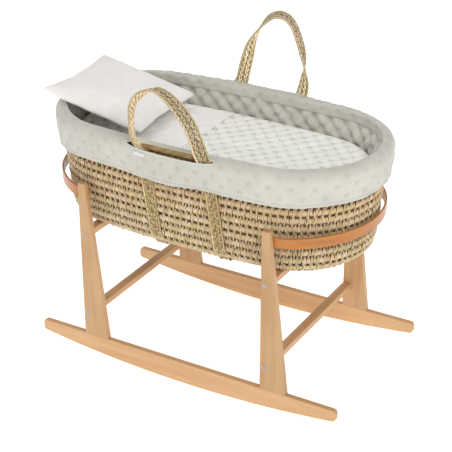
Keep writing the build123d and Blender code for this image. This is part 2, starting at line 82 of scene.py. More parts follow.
# -------- basket's side
BASKET_Z = FLOOR_LOW.z
FOOT_LINE_Z = BASKET_Z + 0.021
WALL_TOP_Z = WALL_HIGH.z
FOOT_ROUND = 0.036           # radius from the underside to the wall
LEAN = math.atan2(WALL_FLARE, WALL_TOP_Z - FOOT_LINE_Z)
ROW = 0.0215                 # height of one row of the weave
TOP_SEAM_Z = 0.526           # uppermost seam between rows that shows under the hem
BLOCK = 0.0158               # length of one block of strips in a row
STRIPS = 4                   # strips in a block, one of them crosses to the next row

# -------- liner
RIM_Z = SKIRT_HIGH.z
HEM_Z = SKIRT_LOW.z
LINER_GROW = (SKIRT_HIGH.x - SKIRT_LOW.x) / 2 - HALF_LENGTH
MOTIFS_ROUND = 46            # sprigs in one row round the liner
MOTIF_RISE = 0.050           # from one row of sprigs to the next but one
SLOT_X = (SLOT_LOW.x + SLOT_HIGH.x) / 2
SLOT_HALF = (SLOT_HIGH.x - SLOT_LOW.x) / 2 + 0.002
CLOTH = 0.0018               # thickness of the skirt
SHEET_CLOTH = 0.0008         # thickness of the top sheet

# -------- bedding
TUFT_X = 0.039               # spacing of the sprigs on the quilt
TUFT_Y = 0.044
PILLOW_SIDE = 0.284
PILLOW_YAW = 3.0             # degrees
PILLOW_TILT = 13.0

STITCH = 0.0042              # length of one stitch and the gap after it

# -------- light and camera
LIGHT_AIM = Vector((0, 0, 0.4))
SENSOR = 36.0                # millimetres
LENS = 109.17
EYE = (1.5392, -2.6454, 1.8972)
EYE_DOWN = 27.16             # degrees below level
EYE_TURN = 30.01             # degrees from +Y towards -X


# ---------------- node materials

def srgb(red, green, blue):
    """Linear colour from display values between about 10 and 255."""
    linear = [((channel / 255 + 0.055) / 1.055) ** 2.4 for channel in (red, green, blue)]
    return (*linear, 1.0)


class Look:
    """A node material being put together round one Principled shader."""

    def __init__(self, name, roughness=0.7, **sockets):
        self.material = bpy.data.materials.new(name)
        self.material.use_nodes = True
        self.tree = self.material.node_tree
        self.tree.nodes.clear()
        self.shader = self.add("BsdfPrincipled", {"Roughness": roughness})
        for socket, value in sockets.items():
            self.shader.inputs[socket.replace("_", " ")].default_value = value
        output = self.add("OutputMaterial")
        self.tree.links.new(self.shader.outputs[0], output.inputs[0])

    def add(self, kind, inputs=None, **settings):
        node = self.tree.nodes.new("ShaderNode" + kind)
        for name, value in settings.items():
            setattr(node, name, value)
        for key, value in (inputs or {}).items():
            self.put(node.inputs[key], value)
        return node

    def put(self, socket, value):
        if isinstance(value, bpy.types.NodeSocket):
            self.tree.links.new(value, socket)
        else:
            socket.default_value = value

    def math(self, operation, a, b=0.0, c=0.0):
        return self.add("Math", {0: a, 1: b, 2: c}, operation=operation).outputs[0]

    def times(self, a, b):
        return self.math("MULTIPLY", a, b)

    def minus(self, a, b):
        return self.math("SUBTRACT", a, b)

    def hypot(self, a, b):
        return self.math("SQRT", self.math("MULTIPLY_ADD", a, a, self.times(b, b)))

    def vector(self, operation, a, b=(0, 0, 0)):
        return self.add("VectorMath", {0: a, 1: b}, operation=operation).outputs[0]

    def scaled(self, vector, factors):
        return self.vector("MULTIPLY", vector, factors)

    def mix(self, factor, a, b, blend="MIX"):
        node = self.add("Mix", {0: factor, 6: a, 7: b}, data_type="RGBA", blend_type=blend)
        return node.outputs[2]

    def tint(self, colour, value, low, high, share, rgb):
        """The colour, pulled towards rgb by up to `share` as value goes from low to high."""
        return self.mix(self.ramp(value, low, high, 0.0, share), colour, srgb(*rgb))

    def noise(self, vector, scale=1.0, detail=2.0, rough=0.5):
        values = {"Vector": vector, "Scale": scale, "Detail": detail, "Roughness": rough}
        return self.add("TexNoise", values).outputs["Fac"]

    def ramp(self, value, low, high, to_low=0.0, to_high=1.0):
        values = {0: value, 1: low, 2: high, 3: to_low, 4: to_high}
        return self.add("MapRange", values, interpolation_type="SMOOTHSTEP").outputs[0]

    def axes(self, vector):
        return self.add("SeparateXYZ", {0: vector}).outputs

    def uv(self):
        return self.add("UVMap", uv_map="flat").outputs[0]

    def place(self):
        return self.add("TexCoord").outputs["Object"]

    def done(self, colour, height=None, distance=0.001, strength=0.6, roughness=None):
        self.put(self.shader.inputs["Base Color"], colour)
        if roughness is not None:
            self.put(self.shader.inputs["Roughness"], roughness)
        if height is not None:
            bump = self.add("Bump", {"Strength": strength, "Distance": distance, "Height": height})
            self.put(self.shader.inputs["Normal"], bump.outputs[0])
        return self.material


def beech(name, along, seed, shade=1.0):
    """Pale beech: fine grain along one axis, short dark flecks, darker end grain."""
    look = Look(name, Coat_Weight=0.12, Coat_Roughness=0.35)
    long_grain, short_fleck = [1.0, 1.0, 1.0], [1.0, 1.0, 1.0]
    long_grain[along], short_fleck[along] = 0.07, 0.22
    place = look.vector("ADD", look.place(), (seed * 1.7, seed * 0.9, seed * 2.3))
    grain = look.scaled(place, long_grain)
    bands = look.noise(grain, 45.0, 3.0, 0.55)
    fine = look.noise(grain, 420.0, 2.0, 0.6)
    flecks = look.ramp(look.noise(look.scaled(place, short_fleck), 900.0, 1.0, 0.5), 0.66, 0.78)
    # shade below 1 darkens both tones: painted shade, used for parts whose faces catch less light.
    pale, deep = ([channel * shade for channel in tone] for tone in ((212, 172, 126), (197, 151, 103)))
    colour = look.mix(look.ramp(bands, 0.3, 0.72), srgb(*pale), srgb(*deep))
    colour = look.tint(colour, fine, 0.35, 0.8, 0.35, (190, 142, 94))
    colour = look.mix(look.times(flecks, 0.65), colour, srgb(146, 98, 62))
    colour = look.tint(colour, look.noise(place, 7.0, 2.0, 0.5), 0.35, 0.7, 0.3, (212, 166, 120))
    normal = look.axes(look.add("TexCoord").outputs["Normal"])[along]
    colour = look.tint(colour, look.math("ABSOLUTE", normal), 0.7, 0.95, 0.55, (186, 134, 88))
    height = look.math("ADD", fine, look.times(flecks, -0.6))
    return look.done(colour, height, 0.0003, 0.35, look.ramp(bands, 0.2, 0.8, 0.42, 0.55))


def bent_wood(name):
    """Amber lacquered strip, its grain running round the bend."""
    look = Look(name, Coat_Weight=0.3, Coat_Roughness=0.25)
    x, y, z = look.axes(look.place())
    angle = look.math("ARCTAN2", y, look.math("ABSOLUTE", x))
    round_it = look.add("CombineXYZ", {0: look.times(angle, 0.25), 2: z})
    grain = look.scaled(round_it.outputs[0], (1.0, 1.0, 14.0))
    bands = look.noise(grain, 14.0, 4.0, 0.6)
    fine = look.noise(look.scaled(grain, (1.0, 1.0, 6.0)), 22.0, 2.0, 0.6)
    colour = look.mix(look.ramp(bands, 0.3, 0.7), srgb(188, 120, 36), srgb(166, 97, 26))
    colour = look.tint(colour, fine, 0.45, 0.75, 0.4, (158, 90, 32))
    return look.done(colour, fine, 0.0002, 0.3, look.ramp(fine, 0.3, 0.8, 0.3, 0.42))


def steel(name):
    """Zinc-plated steel with a turned, slightly worn face."""
    look = Look(name, Metallic=1.0)
    wear = look.noise(look.place(), 900.0, 3.0, 0.6)
    colour = look.mix(look.ramp(wear, 0.35, 0.7), srgb(196, 196, 194), srgb(150, 150, 148))
    return look.done(colour, wear, 0.0001, 0.3, look.ramp(wear, 0.3, 0.7, 0.24, 0.42))


def palm_leaf(name, shade=(255, 255, 255), contrast=1.0):
    """Dry palm leaf: each strip has its own tone, with painted light and shade in it, and fine fibres along
    it.
    """
    look = Look(name, Specular_IOR_Level=0.35)
    uv = look.uv()
    fibres = look.noise(look.scaled(uv, (1900.0, 70.0, 1.0)), 1.0, 2.0, 0.6)
    mottle = look.noise(look.scaled(uv, (180.0, 60.0, 1.0)), 1.0, 2.0, 0.5)
    tone = look.add("Attribute", attribute_name="tone").outputs["Color"]
    colour = look.mix(1.0, tone, srgb(*shade), "MULTIPLY")
    colour = look.tint(colour, fibres, 0.38, 0.72, 0.5 * contrast, (128, 98, 58))
    colour = look.tint(colour, mottle, 0.5, 0.8, 0.35, (232, 208, 160))
    return look.done(colour, fibres, 0.0006, 0.6, look.ramp(fibres, 0.3, 0.8, 0.5, 0.72))


def painted_shade_core(name):
    """Brown behind the strips, darker than the leaf: painted shade for the depth between them."""
    look = Look(name, roughness=0.9)
    spots = look.noise(look.place(), 260.0, 3.0, 0.6)
    colour = look.mix(look.ramp(spots, 0.35, 0.7), srgb(132, 98, 58), srgb(96, 68, 36))
    return look.done(colour, spots, 0.001, 0.5)


def sprig_mask(look, uv, pitches, ring=0.0050, dot=0.0018):
    """1 on a small ring of five dots at each crossing of the diamond lattice, 0 elsewhere."""
    waver = look.add("TexNoise", {"Vector": uv, "Scale": 260.0, "Detail": 1.0}).outputs["Color"]
    waver = look.scaled(look.vector("SUBTRACT", waver, (0.5, 0.5, 0.5)), (0.004, 0.004, 0.0))
    axes = look.axes(look.vector("ADD", uv, waver))
    petal = math.tau / 5
    masks = []
    for shift in (0.0, 0.5):
        local = []
        for axis, pitch in zip(axes, pitches):
            turns = look.math("MULTIPLY_ADD", axis, 1 / pitch, 0.5 + shift)
            local.append(look.times(look.minus(look.math("FRACT", turns), 0.5), pitch))
        radius = look.hypot(*local)
        angle = look.math("ARCTAN2", *local)
        folded = look.minus(look.math("FLOORED_MODULO", angle, petal), petal / 2)
        across = look.times(radius, look.math("SINE", folded))
        outwards = look.minus(look.times(radius, look.math("COSINE", folded)), ring)
        away = look.math("MINIMUM", look.hypot(across, outwards), radius)
        masks.append(look.ramp(away, dot * 0.55, dot * 1.25, 1.0, 0.0))
    return look.math("MAXIMUM", *masks)


def cotton(name, light, dark, pitches=None, sprig=(132, 136, 126), ink=0.45, stitched_v=None):
    """Soft cotton: fine weave, slight mottling, sprigs on a diamond lattice, one stitched line at a v."""
    look = Look(name, Sheen_Weight=0.25, Sheen_Roughness=0.45, Specular_IOR_Level=0.2)
    uv = look.uv()
    cloud = look.noise(look.scaled(uv, (14.0, 14.0, 1.0)), 1.0, 3.0, 0.6)
    fine = look.noise(look.scaled(uv, (1500.0, 1500.0, 1.0)), 1.0, 1.0, 0.5)
    threads = []
    for axis in ("X", "Y"):
        wave = look.add("TexWave", {"Vector": uv, "Scale": 480.0, "Distortion": 1.5},
                        wave_type="BANDS", bands_direction=axis)
        threads.append(wave.outputs["Fac"])
    colour = look.mix(look.ramp(cloud, 0.3, 0.7), srgb(*light), srgb(*dark))
    colour = look.tint(colour, fine, 0.4, 0.8, 0.18, [channel * 0.86 for channel in dark])
    height = look.math("MULTIPLY_ADD", fine, 0.6, look.times(look.times(*threads), 0.4))
    if pitches:
        mask = sprig_mask(look, uv, pitches)
        colour = look.mix(look.times(mask, ink), colour, srgb(*sprig))
        height = look.minus(height, look.times(mask, 1.6))
    if stitched_v is not None:
        u, v, _ = look.axes(uv)
        off = look.math("ABSOLUTE", look.minus(v, stitched_v))
        share = look.math("FRACT", look.times(u, 1 / STITCH))
        dash = look.ramp(look.math("ABSOLUTE", look.minus(share, 0.5)), 0.3, 0.42)
        line = look.ramp(off, 0.0003, 0.0013, 1.0, 0.0)
        stitch = look.times(line, look.math("MULTIPLY_ADD", dash, 0.6, 0.4))
        colour = look.mix(look.times(stitch, 0.55), colour, srgb(*sprig))
        height = look.minus(height, look.times(line, 1.2))
    return look.done(colour, height, 0.0005, 0.5, look.ramp(cloud, 0.3, 0.7, 0.82, 0.92))


# ---------------- meshes

class Shape:
    """Vertices and faces of one piece, gathered from grids of points."""

    def __init__(self):
        self.points, self.quads, self.uvs, self.tones, self.count = [], [], [], [], 0

    def grids(self, points, uv, tone=(1.0, 1.0, 1.0), closed=False, flip=False):
        """Adds grids of points[grid, row, column]. closed joins the last column to the first,
        and then uv has one more column than points."""
        many, rows, columns, _ = points.shape
        index = self.count + np.arange(many * rows * columns).reshape(many, rows, columns)
        left = index if closed else index[:, :, :-1]
        right = np.roll(index, -1, axis=2) if closed else index[:, :, 1:]
        order = [left[:, :-1], right[:, :-1], right[:, 1:], left[:, 1:]]
        corners = [uv[:, :-1, :-1], uv[:, :-1, 1:], uv[:, 1:, 1:], uv[:, 1:, :-1]]
        if flip:
            order.reverse()
            corners.reverse()
        self.quads.append(np.stack(order, axis=-1).reshape(-1, 4))
        self.uvs.append(np.stack(corners, axis=-2).reshape(-1, 2))
        self.points.append(points.reshape(-1, 3))
        tone = np.broadcast_to(tone, (many, rows, columns, 3)).reshape(-1, 3)
        self.tones.append(np.column_stack([tone, np.ones(len(tone))]))
        self.count += many * rows * columns

    def build(self, name, materials, weld=False):
        """The piece as a Blender object: smooth faces, a map of its flat cloth, a tone per vertex."""
        points = np.concatenate(self.points)
        quads = np.concatenate(self.quads)
        mesh = bpy.data.meshes.new(name)
        mesh.vertices.add(len(points))
        mesh.vertices.foreach_set("co", points.astype(np.float32).ravel())
        mesh.loops.add(quads.size)
        mesh.loops.foreach_set("vertex_index", quads.astype(np.int32).ravel())
        mesh.polygons.add(len(quads))
        mesh.polygons.foreach_set("loop_start", np.arange(0, quads.size, 4, dtype=np.int32))
        mesh.polygons.foreach_set("use_smooth", np.ones(len(quads), bool))
        mesh.update(calc_edges=True)
        layer = mesh.uv_layers.new(name="flat")
        layer.uv.foreach_set("vector", np.concatenate(self.uvs).astype(np.float32).ravel())
        tones = mesh.attributes.new("tone", "FLOAT_COLOR", "POINT")
        tones.data.foreach_set("color", np.concatenate(self.tones).astype(np.float32).ravel())
        for material in materials:
            mesh.materials.append(material)
        piece = bpy.data.objects.new(name, mesh)
        bpy.context.scene.collection.objects.link(piece)
        if weld:
            weld_mesh(mesh)
        return piece


def weld_mesh(mesh, distance=2e-5):
    """Joins vertices that lie on each other."""
    cage = bmesh.new()
    cage.from_mesh(mesh)
    bmesh.ops.remove_doubles(cage, verts=cage.verts, dist=distance)
    cage.to_mesh(mesh)
    cage.free()


def grid_uv(u, v):
    """uv for one grid, columns along u and rows along v."""
    return np.stack(np.broadcast_arrays(u[None, :], v[:, None]), axis=-1)[None]


def add_modifier(piece, kind, **settings):
    modifier = piece.modifiers.new(kind.title(), kind)
    for name, value in settings.items():
        setattr(modifier, name, value)
    return modifier


def settle(piece):
    """Applies the piece's modifiers."""
    graph = bpy.context.evaluated_depsgraph_get()
    mesh = bpy.data.meshes.new_from_object(piece.evaluated_get(graph))
    piece.modifiers.clear()
    piece.data = mesh


def smooth_step(value, low, high):
    share = np.clip((value - low) / (high - low), 0.0, 1.0)
    return share * share * (3 - 2 * share)


def ripple(seed, s, v, cycles, rise, terms=7):
    """Smooth waves of about one unit, periodic round the oval; v in metres."""
    random = np.random.default_rng(seed)
    total = 0.0
    for _ in range(terms):
        turns = round(cycles * random.uniform(0.5, 1.6))
        slant = random.normal(0, rise)
        total = total + np.cos(math.tau * (turns * s / PERIMETER + slant * v + random.uniform(0, 1)))
    return total / math.sqrt(terms / 2)


def quilting(u, v, pitch_u, pitch_v, power=0.5):
    """0 in the creases of a diamond lattice, 1 on the middles of its puffs."""
    along = u / pitch_u
    up = v / pitch_v
    return np.abs(np.sin(math.pi * (along + up)) * np.sin(math.pi * (along - up))) ** power


def dimples(u, v, pitch_u, pitch_v, radius):
    """1 on the crossings of the diamond lattice, fading to 0 at the radius."""
    near = np.full(np.broadcast(u, v).shape, 1.0)
    for shift in (0.0, 0.5):
        du = (np.mod(u / pitch_u + 0.5 + shift, 1) - 0.5) * pitch_u
        dv = (np.mod(v / pitch_v + 0.5 + shift, 1) - 0.5) * pitch_v
        near = np.minimum(near, np.hypot(du, dv) / radius)
    return np.exp(-(near**2) * 2.5)


# ---------------- the basket's plan and side

ARC_RADII = np.array([END_RADIUS, SIDE_RADIUS, END_RADIUS, SIDE_RADIUS, END_RADIUS])
ARC_X = np.array([END_X, 0.0, -END_X, 0.0, END_X])
ARC_Y = np.array([0.0, HALF_WIDTH - SIDE_RADIUS, 0.0, SIDE_RADIUS - HALF_WIDTH, 0.0])
ARC_STARTS = np.array([0.0, END_TURN, math.pi - END_TURN, math.pi + END_TURN, math.tau - END_TURN])
ARC_TURNS = np.array([END_TURN, math.pi - 2 * END_TURN, 2 * END_TURN, math.pi - 2 * END_TURN, END_TURN])


def oval_length(along=0.0):
    return float(((ARC_RADII + along) * ARC_TURNS).sum())


PERIMETER = oval_length()
NEAR_S = PERIMETER * 0.75    # middle of the near side
FAR_S = PERIMETER * 0.25
LATTICE = (PERIMETER / MOTIFS_ROUND, MOTIF_RISE)


def oval(s, grow, z, along=0.0):
    """Points on the oval `grow` outside the foot line. s runs from the foot end over the far side,
    measured on the oval that lies `along` outside the foot line."""
    radii = ARC_RADII + along
    ends = np.cumsum(radii * ARC_TURNS)
    s = np.mod(s, ends[-1])
    arc = np.minimum(np.searchsorted(ends, s, side="right"), 4)
    angle = ARC_STARTS[arc] + (s - (ends - radii * ARC_TURNS)[arc]) / radii[arc]
    reach = ARC_RADII[arc] + grow
    x = CENTRE_X + ARC_X[arc] + reach * np.cos(angle)
    y = ARC_Y[arc] + reach * np.sin(angle)
    return np.stack(np.broadcast_arrays(x, y, z), axis=-1)


def side_s(x, side, grow):
    """s of the point with this x on the near (-1) or far (+1) long side."""
    turn = math.asin((x - CENTRE_X) / (SIDE_RADIUS + grow))
    return (FAR_S if side > 0 else NEAR_S) - side * SIDE_RADIUS * turn


FOOT_TURN = math.pi / 2 - LEAN
FOOT_ARC = FOOT_ROUND * FOOT_TURN
FOOT_START = (BASKET_Z + FOOT_ROUND * (1 - math.sin(LEAN)) - FOOT_LINE_Z) * math.tan(LEAN)


def wall_side(v, out=0.0):
    """(grow, z) on the outside of the wall, v along it from the flat underside, `out` proud of it."""
    turn = np.clip(v / FOOT_ROUND, 0.0, FOOT_TURN) - math.pi / 2
    centre_grow = FOOT_START - FOOT_ROUND * math.cos(LEAN)
    centre_z = BASKET_Z + FOOT_ROUND
    past = np.maximum(v - FOOT_ARC, 0.0)
    before = np.minimum(v, 0.0)
    grow = centre_grow + (FOOT_ROUND + out) * np.cos(turn) + past * math.sin(LEAN) + before
    z = centre_z + (FOOT_ROUND + out) * np.sin(turn) + past * math.cos(LEAN)
    return grow, z


def wall_v(z):
    """v of a height on the straight part of the wall."""
    turn = FOOT_TURN - math.pi / 2
    return FOOT_ARC + (z - BASKET_Z - FOOT_ROUND - FOOT_ROUND * math.sin(turn)) / math.cos(LEAN)


# ---------------- woven palm leaf

LEAF_TONES = np.array([
    srgb(228, 206, 168), srgb(218, 198, 152), srgb(226, 201, 162), srgb(212, 196, 146),
    srgb(238, 220, 186), srgb(222, 192, 150), srgb(204, 182, 140), srgb(226, 204, 172),
])[:, :3]


def leaf_tone(random, shape, warm=0.0):
    """Random leaf colours, pulled towards orange by `warm`."""
    tone = LEAF_TONES[random.integers(0, len(LEAF_TONES), shape)]
    tone = tone * random.uniform(0.92, 1.21, shape)[..., None]
    orange = np.array(srgb(224, 160, 104))[:3]
    return tone + (orange - tone) * warm * random.uniform(0.2, 1.0, shape)[..., None]


def woven_row(shape, random, place, length, low, high, warm):
    """One row of folded leaf: blocks of upright strips, one in each block crossing to the next row."""
    count = round(length / BLOCK)
    step = length / count
    across = np.array([-1.0, -0.72, 0.0, 0.72, 1.0])
    up = np.linspace(0.0, 1.0, 6)[:, None]
    arch = np.sin(math.pi * up)
    # Painted light and shade: each strip is lighter over the crown of its row and towards the row's top,
    # and darker along its edges.
    shade = (0.60 + 0.40 * arch**0.5) * (0.92 + 0.14 * up) * (1.0 - 0.34 * np.abs(across) ** 3)
    block_tone = leaf_tone(random, count, warm)
    shift = random.uniform(0, step)
    for strip in range(STRIPS):
        crossing = strip == 0
        middle = (np.arange(count) + (strip + 0.5) / STRIPS) * step + shift
        middle = middle + random.normal(0, 0.0004, count)
        lean = random.normal(0.0042 if crossing else 0.0014, 0.0012, count)
        half = step / STRIPS * (0.60 if crossing else 0.50) * random.uniform(0.85, 1.12, count)
        proud = random.normal(0, 0.00035, count)
        middle, lean, half, proud = (value[:, None, None] for value in (middle, lean, half, proud))
        if crossing:
            first, last = -0.13, 1.13
            rise = 0.0006 + 0.0028 * arch**0.7
        else:
            first, last = 0.15, 0.85
            rise = -0.0026 + 0.0052 * np.sin(math.pi * (0.06 + 0.88 * up)) ** 0.55
        s = middle + lean * (up - 0.5) + half * across
        v = np.broadcast_to(low + (high - low) * (first + (last - first) * up), s.shape)
        out = rise + proud + 0.0016 * (1 - across**2)
        tone = block_tone * 0.65 + leaf_tone(random, count, warm) * 0.35
        # The painted light and shade go into the strip's tone; crossing strips are toned a little darker
        # than the others.
        tone = tone[:, None, None] * (shade * (0.86 if crossing else 1.03))[..., None]
        uv = np.stack(np.broadcast_arrays(middle + half * across, v), axis=-1)
        shape.grids(place(s, v, out), uv, tone)


def on_wall(s, v, out):
    grow, z = wall_side(v, out)
    return oval(s, grow, z)


def basket_weave():
    """All rows of the wall, from the turn of the floor to the border."""
    shape = Shape()
    random = np.random.default_rng(11)
    top = wall_v(TOP_SEAM_Z)
    last = wall_v(WALL_TOP_Z)
    rows_below = int((top + 0.008) / ROW)
    for row in range(-rows_below, int((last - top) / ROW) + 1):
        low = top + row * ROW
        warm = 0.32 * math.exp(-abs(row + 0.5) / 2.0) + 0.04
        woven_row(shape, random, on_wall, PERIMETER, low, min(low + ROW, last), warm)
    return shape.build("basket_weave", [palm_leaf("palm weave")])


def wall_core():
    """Closed shell behind the strips."""
    shape = Shape()
    s = np.linspace(0, PERIMETER, 241)
    v = np.linspace(0.004, wall_v(WALL_TOP_Z), 24)
    outer = [wall_side(x, -0.0028) for x in v]
    inner = [(grow - 0.0055, z) for grow, z in outer]
    loop = outer + inner[::-1] + outer[:1]
    points = np.stack([oval(s[:-1], grow, z) for grow, z in loop])[None]
    shape.grids(points, grid_uv(s, np.arange(len(loop)) * 0.01), closed=True)
    return shape.build("basket_wall_core", [painted_shade_core("weave core")], weld=True)


def floor_weave():
    """Rows of the underside, oval after oval inwards."""
    shape = Shape()
    random = np.random.default_rng(12)
    edge = wall_side(0.0)[0] - 0.004
    row = 0
    while True:
        outer = edge - row * ROW
        inner = max(outer - ROW, -HALF_WIDTH + 0.013)
        if outer - inner < ROW * 0.4:
            break
        middle = (outer + inner) / 2
        length = oval_length(middle)

        def place(s, v, out, middle=middle):
            return oval(s, v, BASKET_Z + 0.0022 - out, along=middle)

        woven_row(shape, random, place, length, outer, inner, 0.1)
        row += 1
    return shape.build("floor_weave", [palm_leaf("palm floor")])


def floor_core():
    """Closed oval disc inside the floor."""
    shape = Shape()
    s = np.linspace(0, PERIMETER, 161)
    grow_low, grow_high = -0.036, (FLOOR_HIGH.x - FLOOR_LOW.x) / 2 - HALF_LENGTH - 0.006
    rings = [(share, grow_low, BASKET_Z + 0.0030) for share in (1.0, 0.5, 0.0)]
    rings += [(share, grow_high, FLOOR_HIGH.z) for share in (0.0, 0.5, 1.0)]
    points = np.stack([inwards(oval(s[:-1], grow, z), share) for share, grow, z in rings])[None]
    shape.grids(points, grid_uv(s, np.arange(len(rings)) * 0.1), closed=True, flip=True)
    return shape.build("basket_floor_core", [painted_shade_core("floor core")], weld=True)


def inwards(points, share):
    """Points drawn from the oval towards the spine of its plan, share 1 being on the spine."""
    spine = points.copy()
    spine[..., 0] = CENTRE_X + (points[..., 0] - CENTRE_X) * END_X / HALF_LENGTH
    spine[..., 1] = 0.0
    return points + (spine - points) * share


# ---------------- braids and ropes

def unit(vectors):
    return vectors / np.linalg.norm(vectors, axis=-1, keepdims=True)


def lengths(line):
    return np.concatenate([[0.0], np.cumsum(np.linalg.norm(np.diff(line, axis=0), axis=1))])


def resample(line, step):
    """A smooth line through a few points, with even steps (Catmull-Rom)."""
    line = np.asarray(line, float)
    padded = np.vstack([2 * line[0] - line[1], line, 2 * line[-1] - line[-2]])
    dense = []
    for a, b, c, d in zip(padded[:-3], padded[1:-2], padded[2:-1], padded[3:]):
        for t in np.linspace(0, 1, 20, endpoint=False):
            dense.append(0.5 * (2 * b + (c - a) * t + (2 * a - 5 * b + 4 * c - d) * t**2
                                + (3 * b - a - 3 * c + d) * t**3))
    dense.append(line[-1])
    dense = np.array(dense)
    distance = lengths(dense)
    even = np.linspace(0, distance[-1], max(int(distance[-1] / step), 2) + 1)
    return np.stack([np.interp(even, distance, dense[:, axis]) for axis in range(dense.shape[1])], axis=1)


def strand(shape, line, flat_out, half_width, half_thickness, tone, closed_loop=False, u=0.0, sides=8,
           side_shade=0.0):
    """A flattened strand along a line; flat_out is the direction that its flat side faces, and
    groove darkens its sides with painted shade."""
    tangent = unit(np.roll(line, -1, 0) - np.roll(line, 1, 0) if closed_loop else np.gradient(line, axis=0))
    side = unit(np.cross(tangent, flat_out))
    out = np.cross(side, tangent)
    angle = np.linspace(0, math.tau, sides, endpoint=False)
    size = np.ones(len(line))
    if not closed_loop:
        size[[0, -1]] = 0.05
        size[[1, -2]] = 0.8
    cosine, sine = (np.sign(wave) * np.abs(wave) ** 0.8 for wave in (np.cos(angle), np.sin(angle)))
    widths = np.broadcast_to(half_width, size.shape)[:, None, None]
    ring = side[:, None] * cosine[None, :, None] * widths
    ring = ring + out[:, None] * sine[None, :, None] * half_thickness
    points = line[:, None] + ring * size[:, None, None]
    distance = lengths(line)
    if closed_loop:
        points = np.concatenate([points, points[:1]])
        distance = np.append(distance, distance[-1] + np.linalg.norm(line[0] - line[-1]))
        tone = np.concatenate([tone, tone[:1]]) if np.ndim(tone) > 1 else tone
    around = u + np.linspace(0, 4 * float(np.max(half_width)), sides + 1)
    if np.ndim(tone) > 1:
        # Painted shade on the sides of the strand.
        tone = tone[None, :, None, :] * (1 - side_shade * np.abs(np.cos(angle)) ** 2)[None, None, :, None]
    shape.grids(points[None], grid_uv(around, distance), tone, closed=True, flip=True)


def tone_along(random, distance, warm, splice=0.035):
    """Leaf tones that change at each splice along a strand."""
    many = int(distance[-1] / splice) + 2
    tones = leaf_tone(random, many, warm)
    place = distance / splice + random.uniform(0, 1)
    index = np.minimum(place.astype(int), many - 2)
    share = smooth_step(place - index, 0.8, 1.0)[:, None]
    return tones[index] * (1 - share) + tones[index + 1] * share


def braid(shape, random, line, side, out, width, plait, warm, bright, shade_backing_edge):
    """Two broad plaits side by side, a twisted cord along each edge, on a dark layer that
    ends shade_backing_edge outside them; the layer's dark colour is painted shade for the gaps between
    the strands and along the strap's edges. width per point, plait is the length of one plait,
    warm and bright set the leaf's colour."""
    distance = lengths(line)
    width = np.broadcast_to(width, distance.shape)
    cord = 0.0052
    cord_twist = 0.0125
    column = width / 2 - cord
    for hand in (-1, 1):
        start = random.uniform(0, 1)
        for thread in range(3):
            phase = math.tau * (distance / plait + thread / 3 + start)
            phase = phase + 0.25 * np.sin(distance * 90 + thread)
            across = hand * column * (0.5 + 0.29 * np.sin(phase))
            height = np.sin(2 * phase)
            centre = line + side * across[:, None] + out * (0.0016 * height)[:, None]
            # Painted light and shade: a strand is lighter where it rides over and darker where it dips
            # under.
            tone = tone_along(random, distance, warm) * (bright + 0.62 * height)[:, None]
            strand(shape, centre, out, column * 0.150, 0.0014, tone, u=random.uniform(0, 1), side_shade=0.45)
    for hand in (-1, 1):
        for thread in range(2):
            phase = math.tau * (distance / cord_twist + thread / 2)
            across = hand * (width / 2 - cord / 2) + cord * 0.22 * np.cos(phase)
            centre = line + side * across[:, None] + out * (cord * 0.22 * hand * np.sin(phase))[:, None]
            light_on_it = bright * 0.82 + 0.30 * np.sin(phase + 0.7)
            tone = tone_along(random, distance, warm) * light_on_it[:, None]
            strand(shape, centre, out, cord * 0.36, cord * 0.28, tone, u=random.uniform(0, 1), sides=6,
                   side_shade=0.35)
    # Painted shade: a dark layer under the strands, showing in the gaps between them and along the edges.
    shade_backing = np.full((len(distance), 3), STRAP_SHADE_BACKING)
    strand(shape, line - out * 0.0006, out, width / 2 + shade_backing_edge, 0.0005, shade_backing)


STRAP_WIDTH = 0.033
STRAP_PROUD = 0.0044         # middle of a strap outside the wall
# Dark brown under the braids and the rope: painted shade for the gaps between their strands.
STRAP_SHADE_BACKING = (0.200, 0.140, 0.084)
ROPE_SHADE_BACKING = (0.2200, 0.1584, 0.0990)


def strap_line(x_near, x_near_foot, x_far):
    """Points of a strap from the near border, under the floor, to the far border."""
    heights = [WALL_TOP_Z + 0.001, 0.585, 0.536, 0.48, 0.42, 0.385]
    top = heights[1]
    near, far = [], []
    for z in heights:
        grow, level = wall_side(wall_v(z), STRAP_PROUD)
        x = x_near + (x_near_foot - x_near) * (top - z) / (top - FOOT_LINE_Z)
        near.append((x, -side_y(x, grow), level))
        far.append((x_far, side_y(x_far, grow), level))
    for v in (0.018, 0.008, -0.006):
        grow, level = wall_side(v, STRAP_PROUD)
        near.append((x_near_foot, -side_y(x_near_foot, grow), level))
        far.append((x_far, side_y(x_far, grow), level))
    middle = ((x_near_foot + x_far) / 2, 0.0, BASKET_Z - STRAP_PROUD)
    return resample(near + [middle] + far[::-1], 0.0022)


def side_y(x, grow):
    """Half width of the oval at x, on its long sides."""
    return np.sqrt((SIDE_RADIUS + grow) ** 2 - (x - CENTRE_X) ** 2) - SIDE_RADIUS + HALF_WIDTH


def strap(end):
    """Braided strap under the basket, from border to border."""
    low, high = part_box(f"strap_{end}")
    middle = (low.x + high.x) / 2
    line = strap_line(middle - 0.010, middle + 0.011, middle)
    tangent = unit(np.gradient(line, axis=0))
    side = unit(np.array([1.0, 0, 0]) - tangent * tangent[:, :1])
    shape = Shape()
    braid(shape, np.random.default_rng(21 if end == "head" else 22), line, side,
          np.cross(side, tangent), STRAP_WIDTH, 0.064, 0.05, 1.20, 0.0012)
    return shape.build(f"strap_{end}_braid", [palm_leaf(f"strap {end}", (250, 250, 226))])
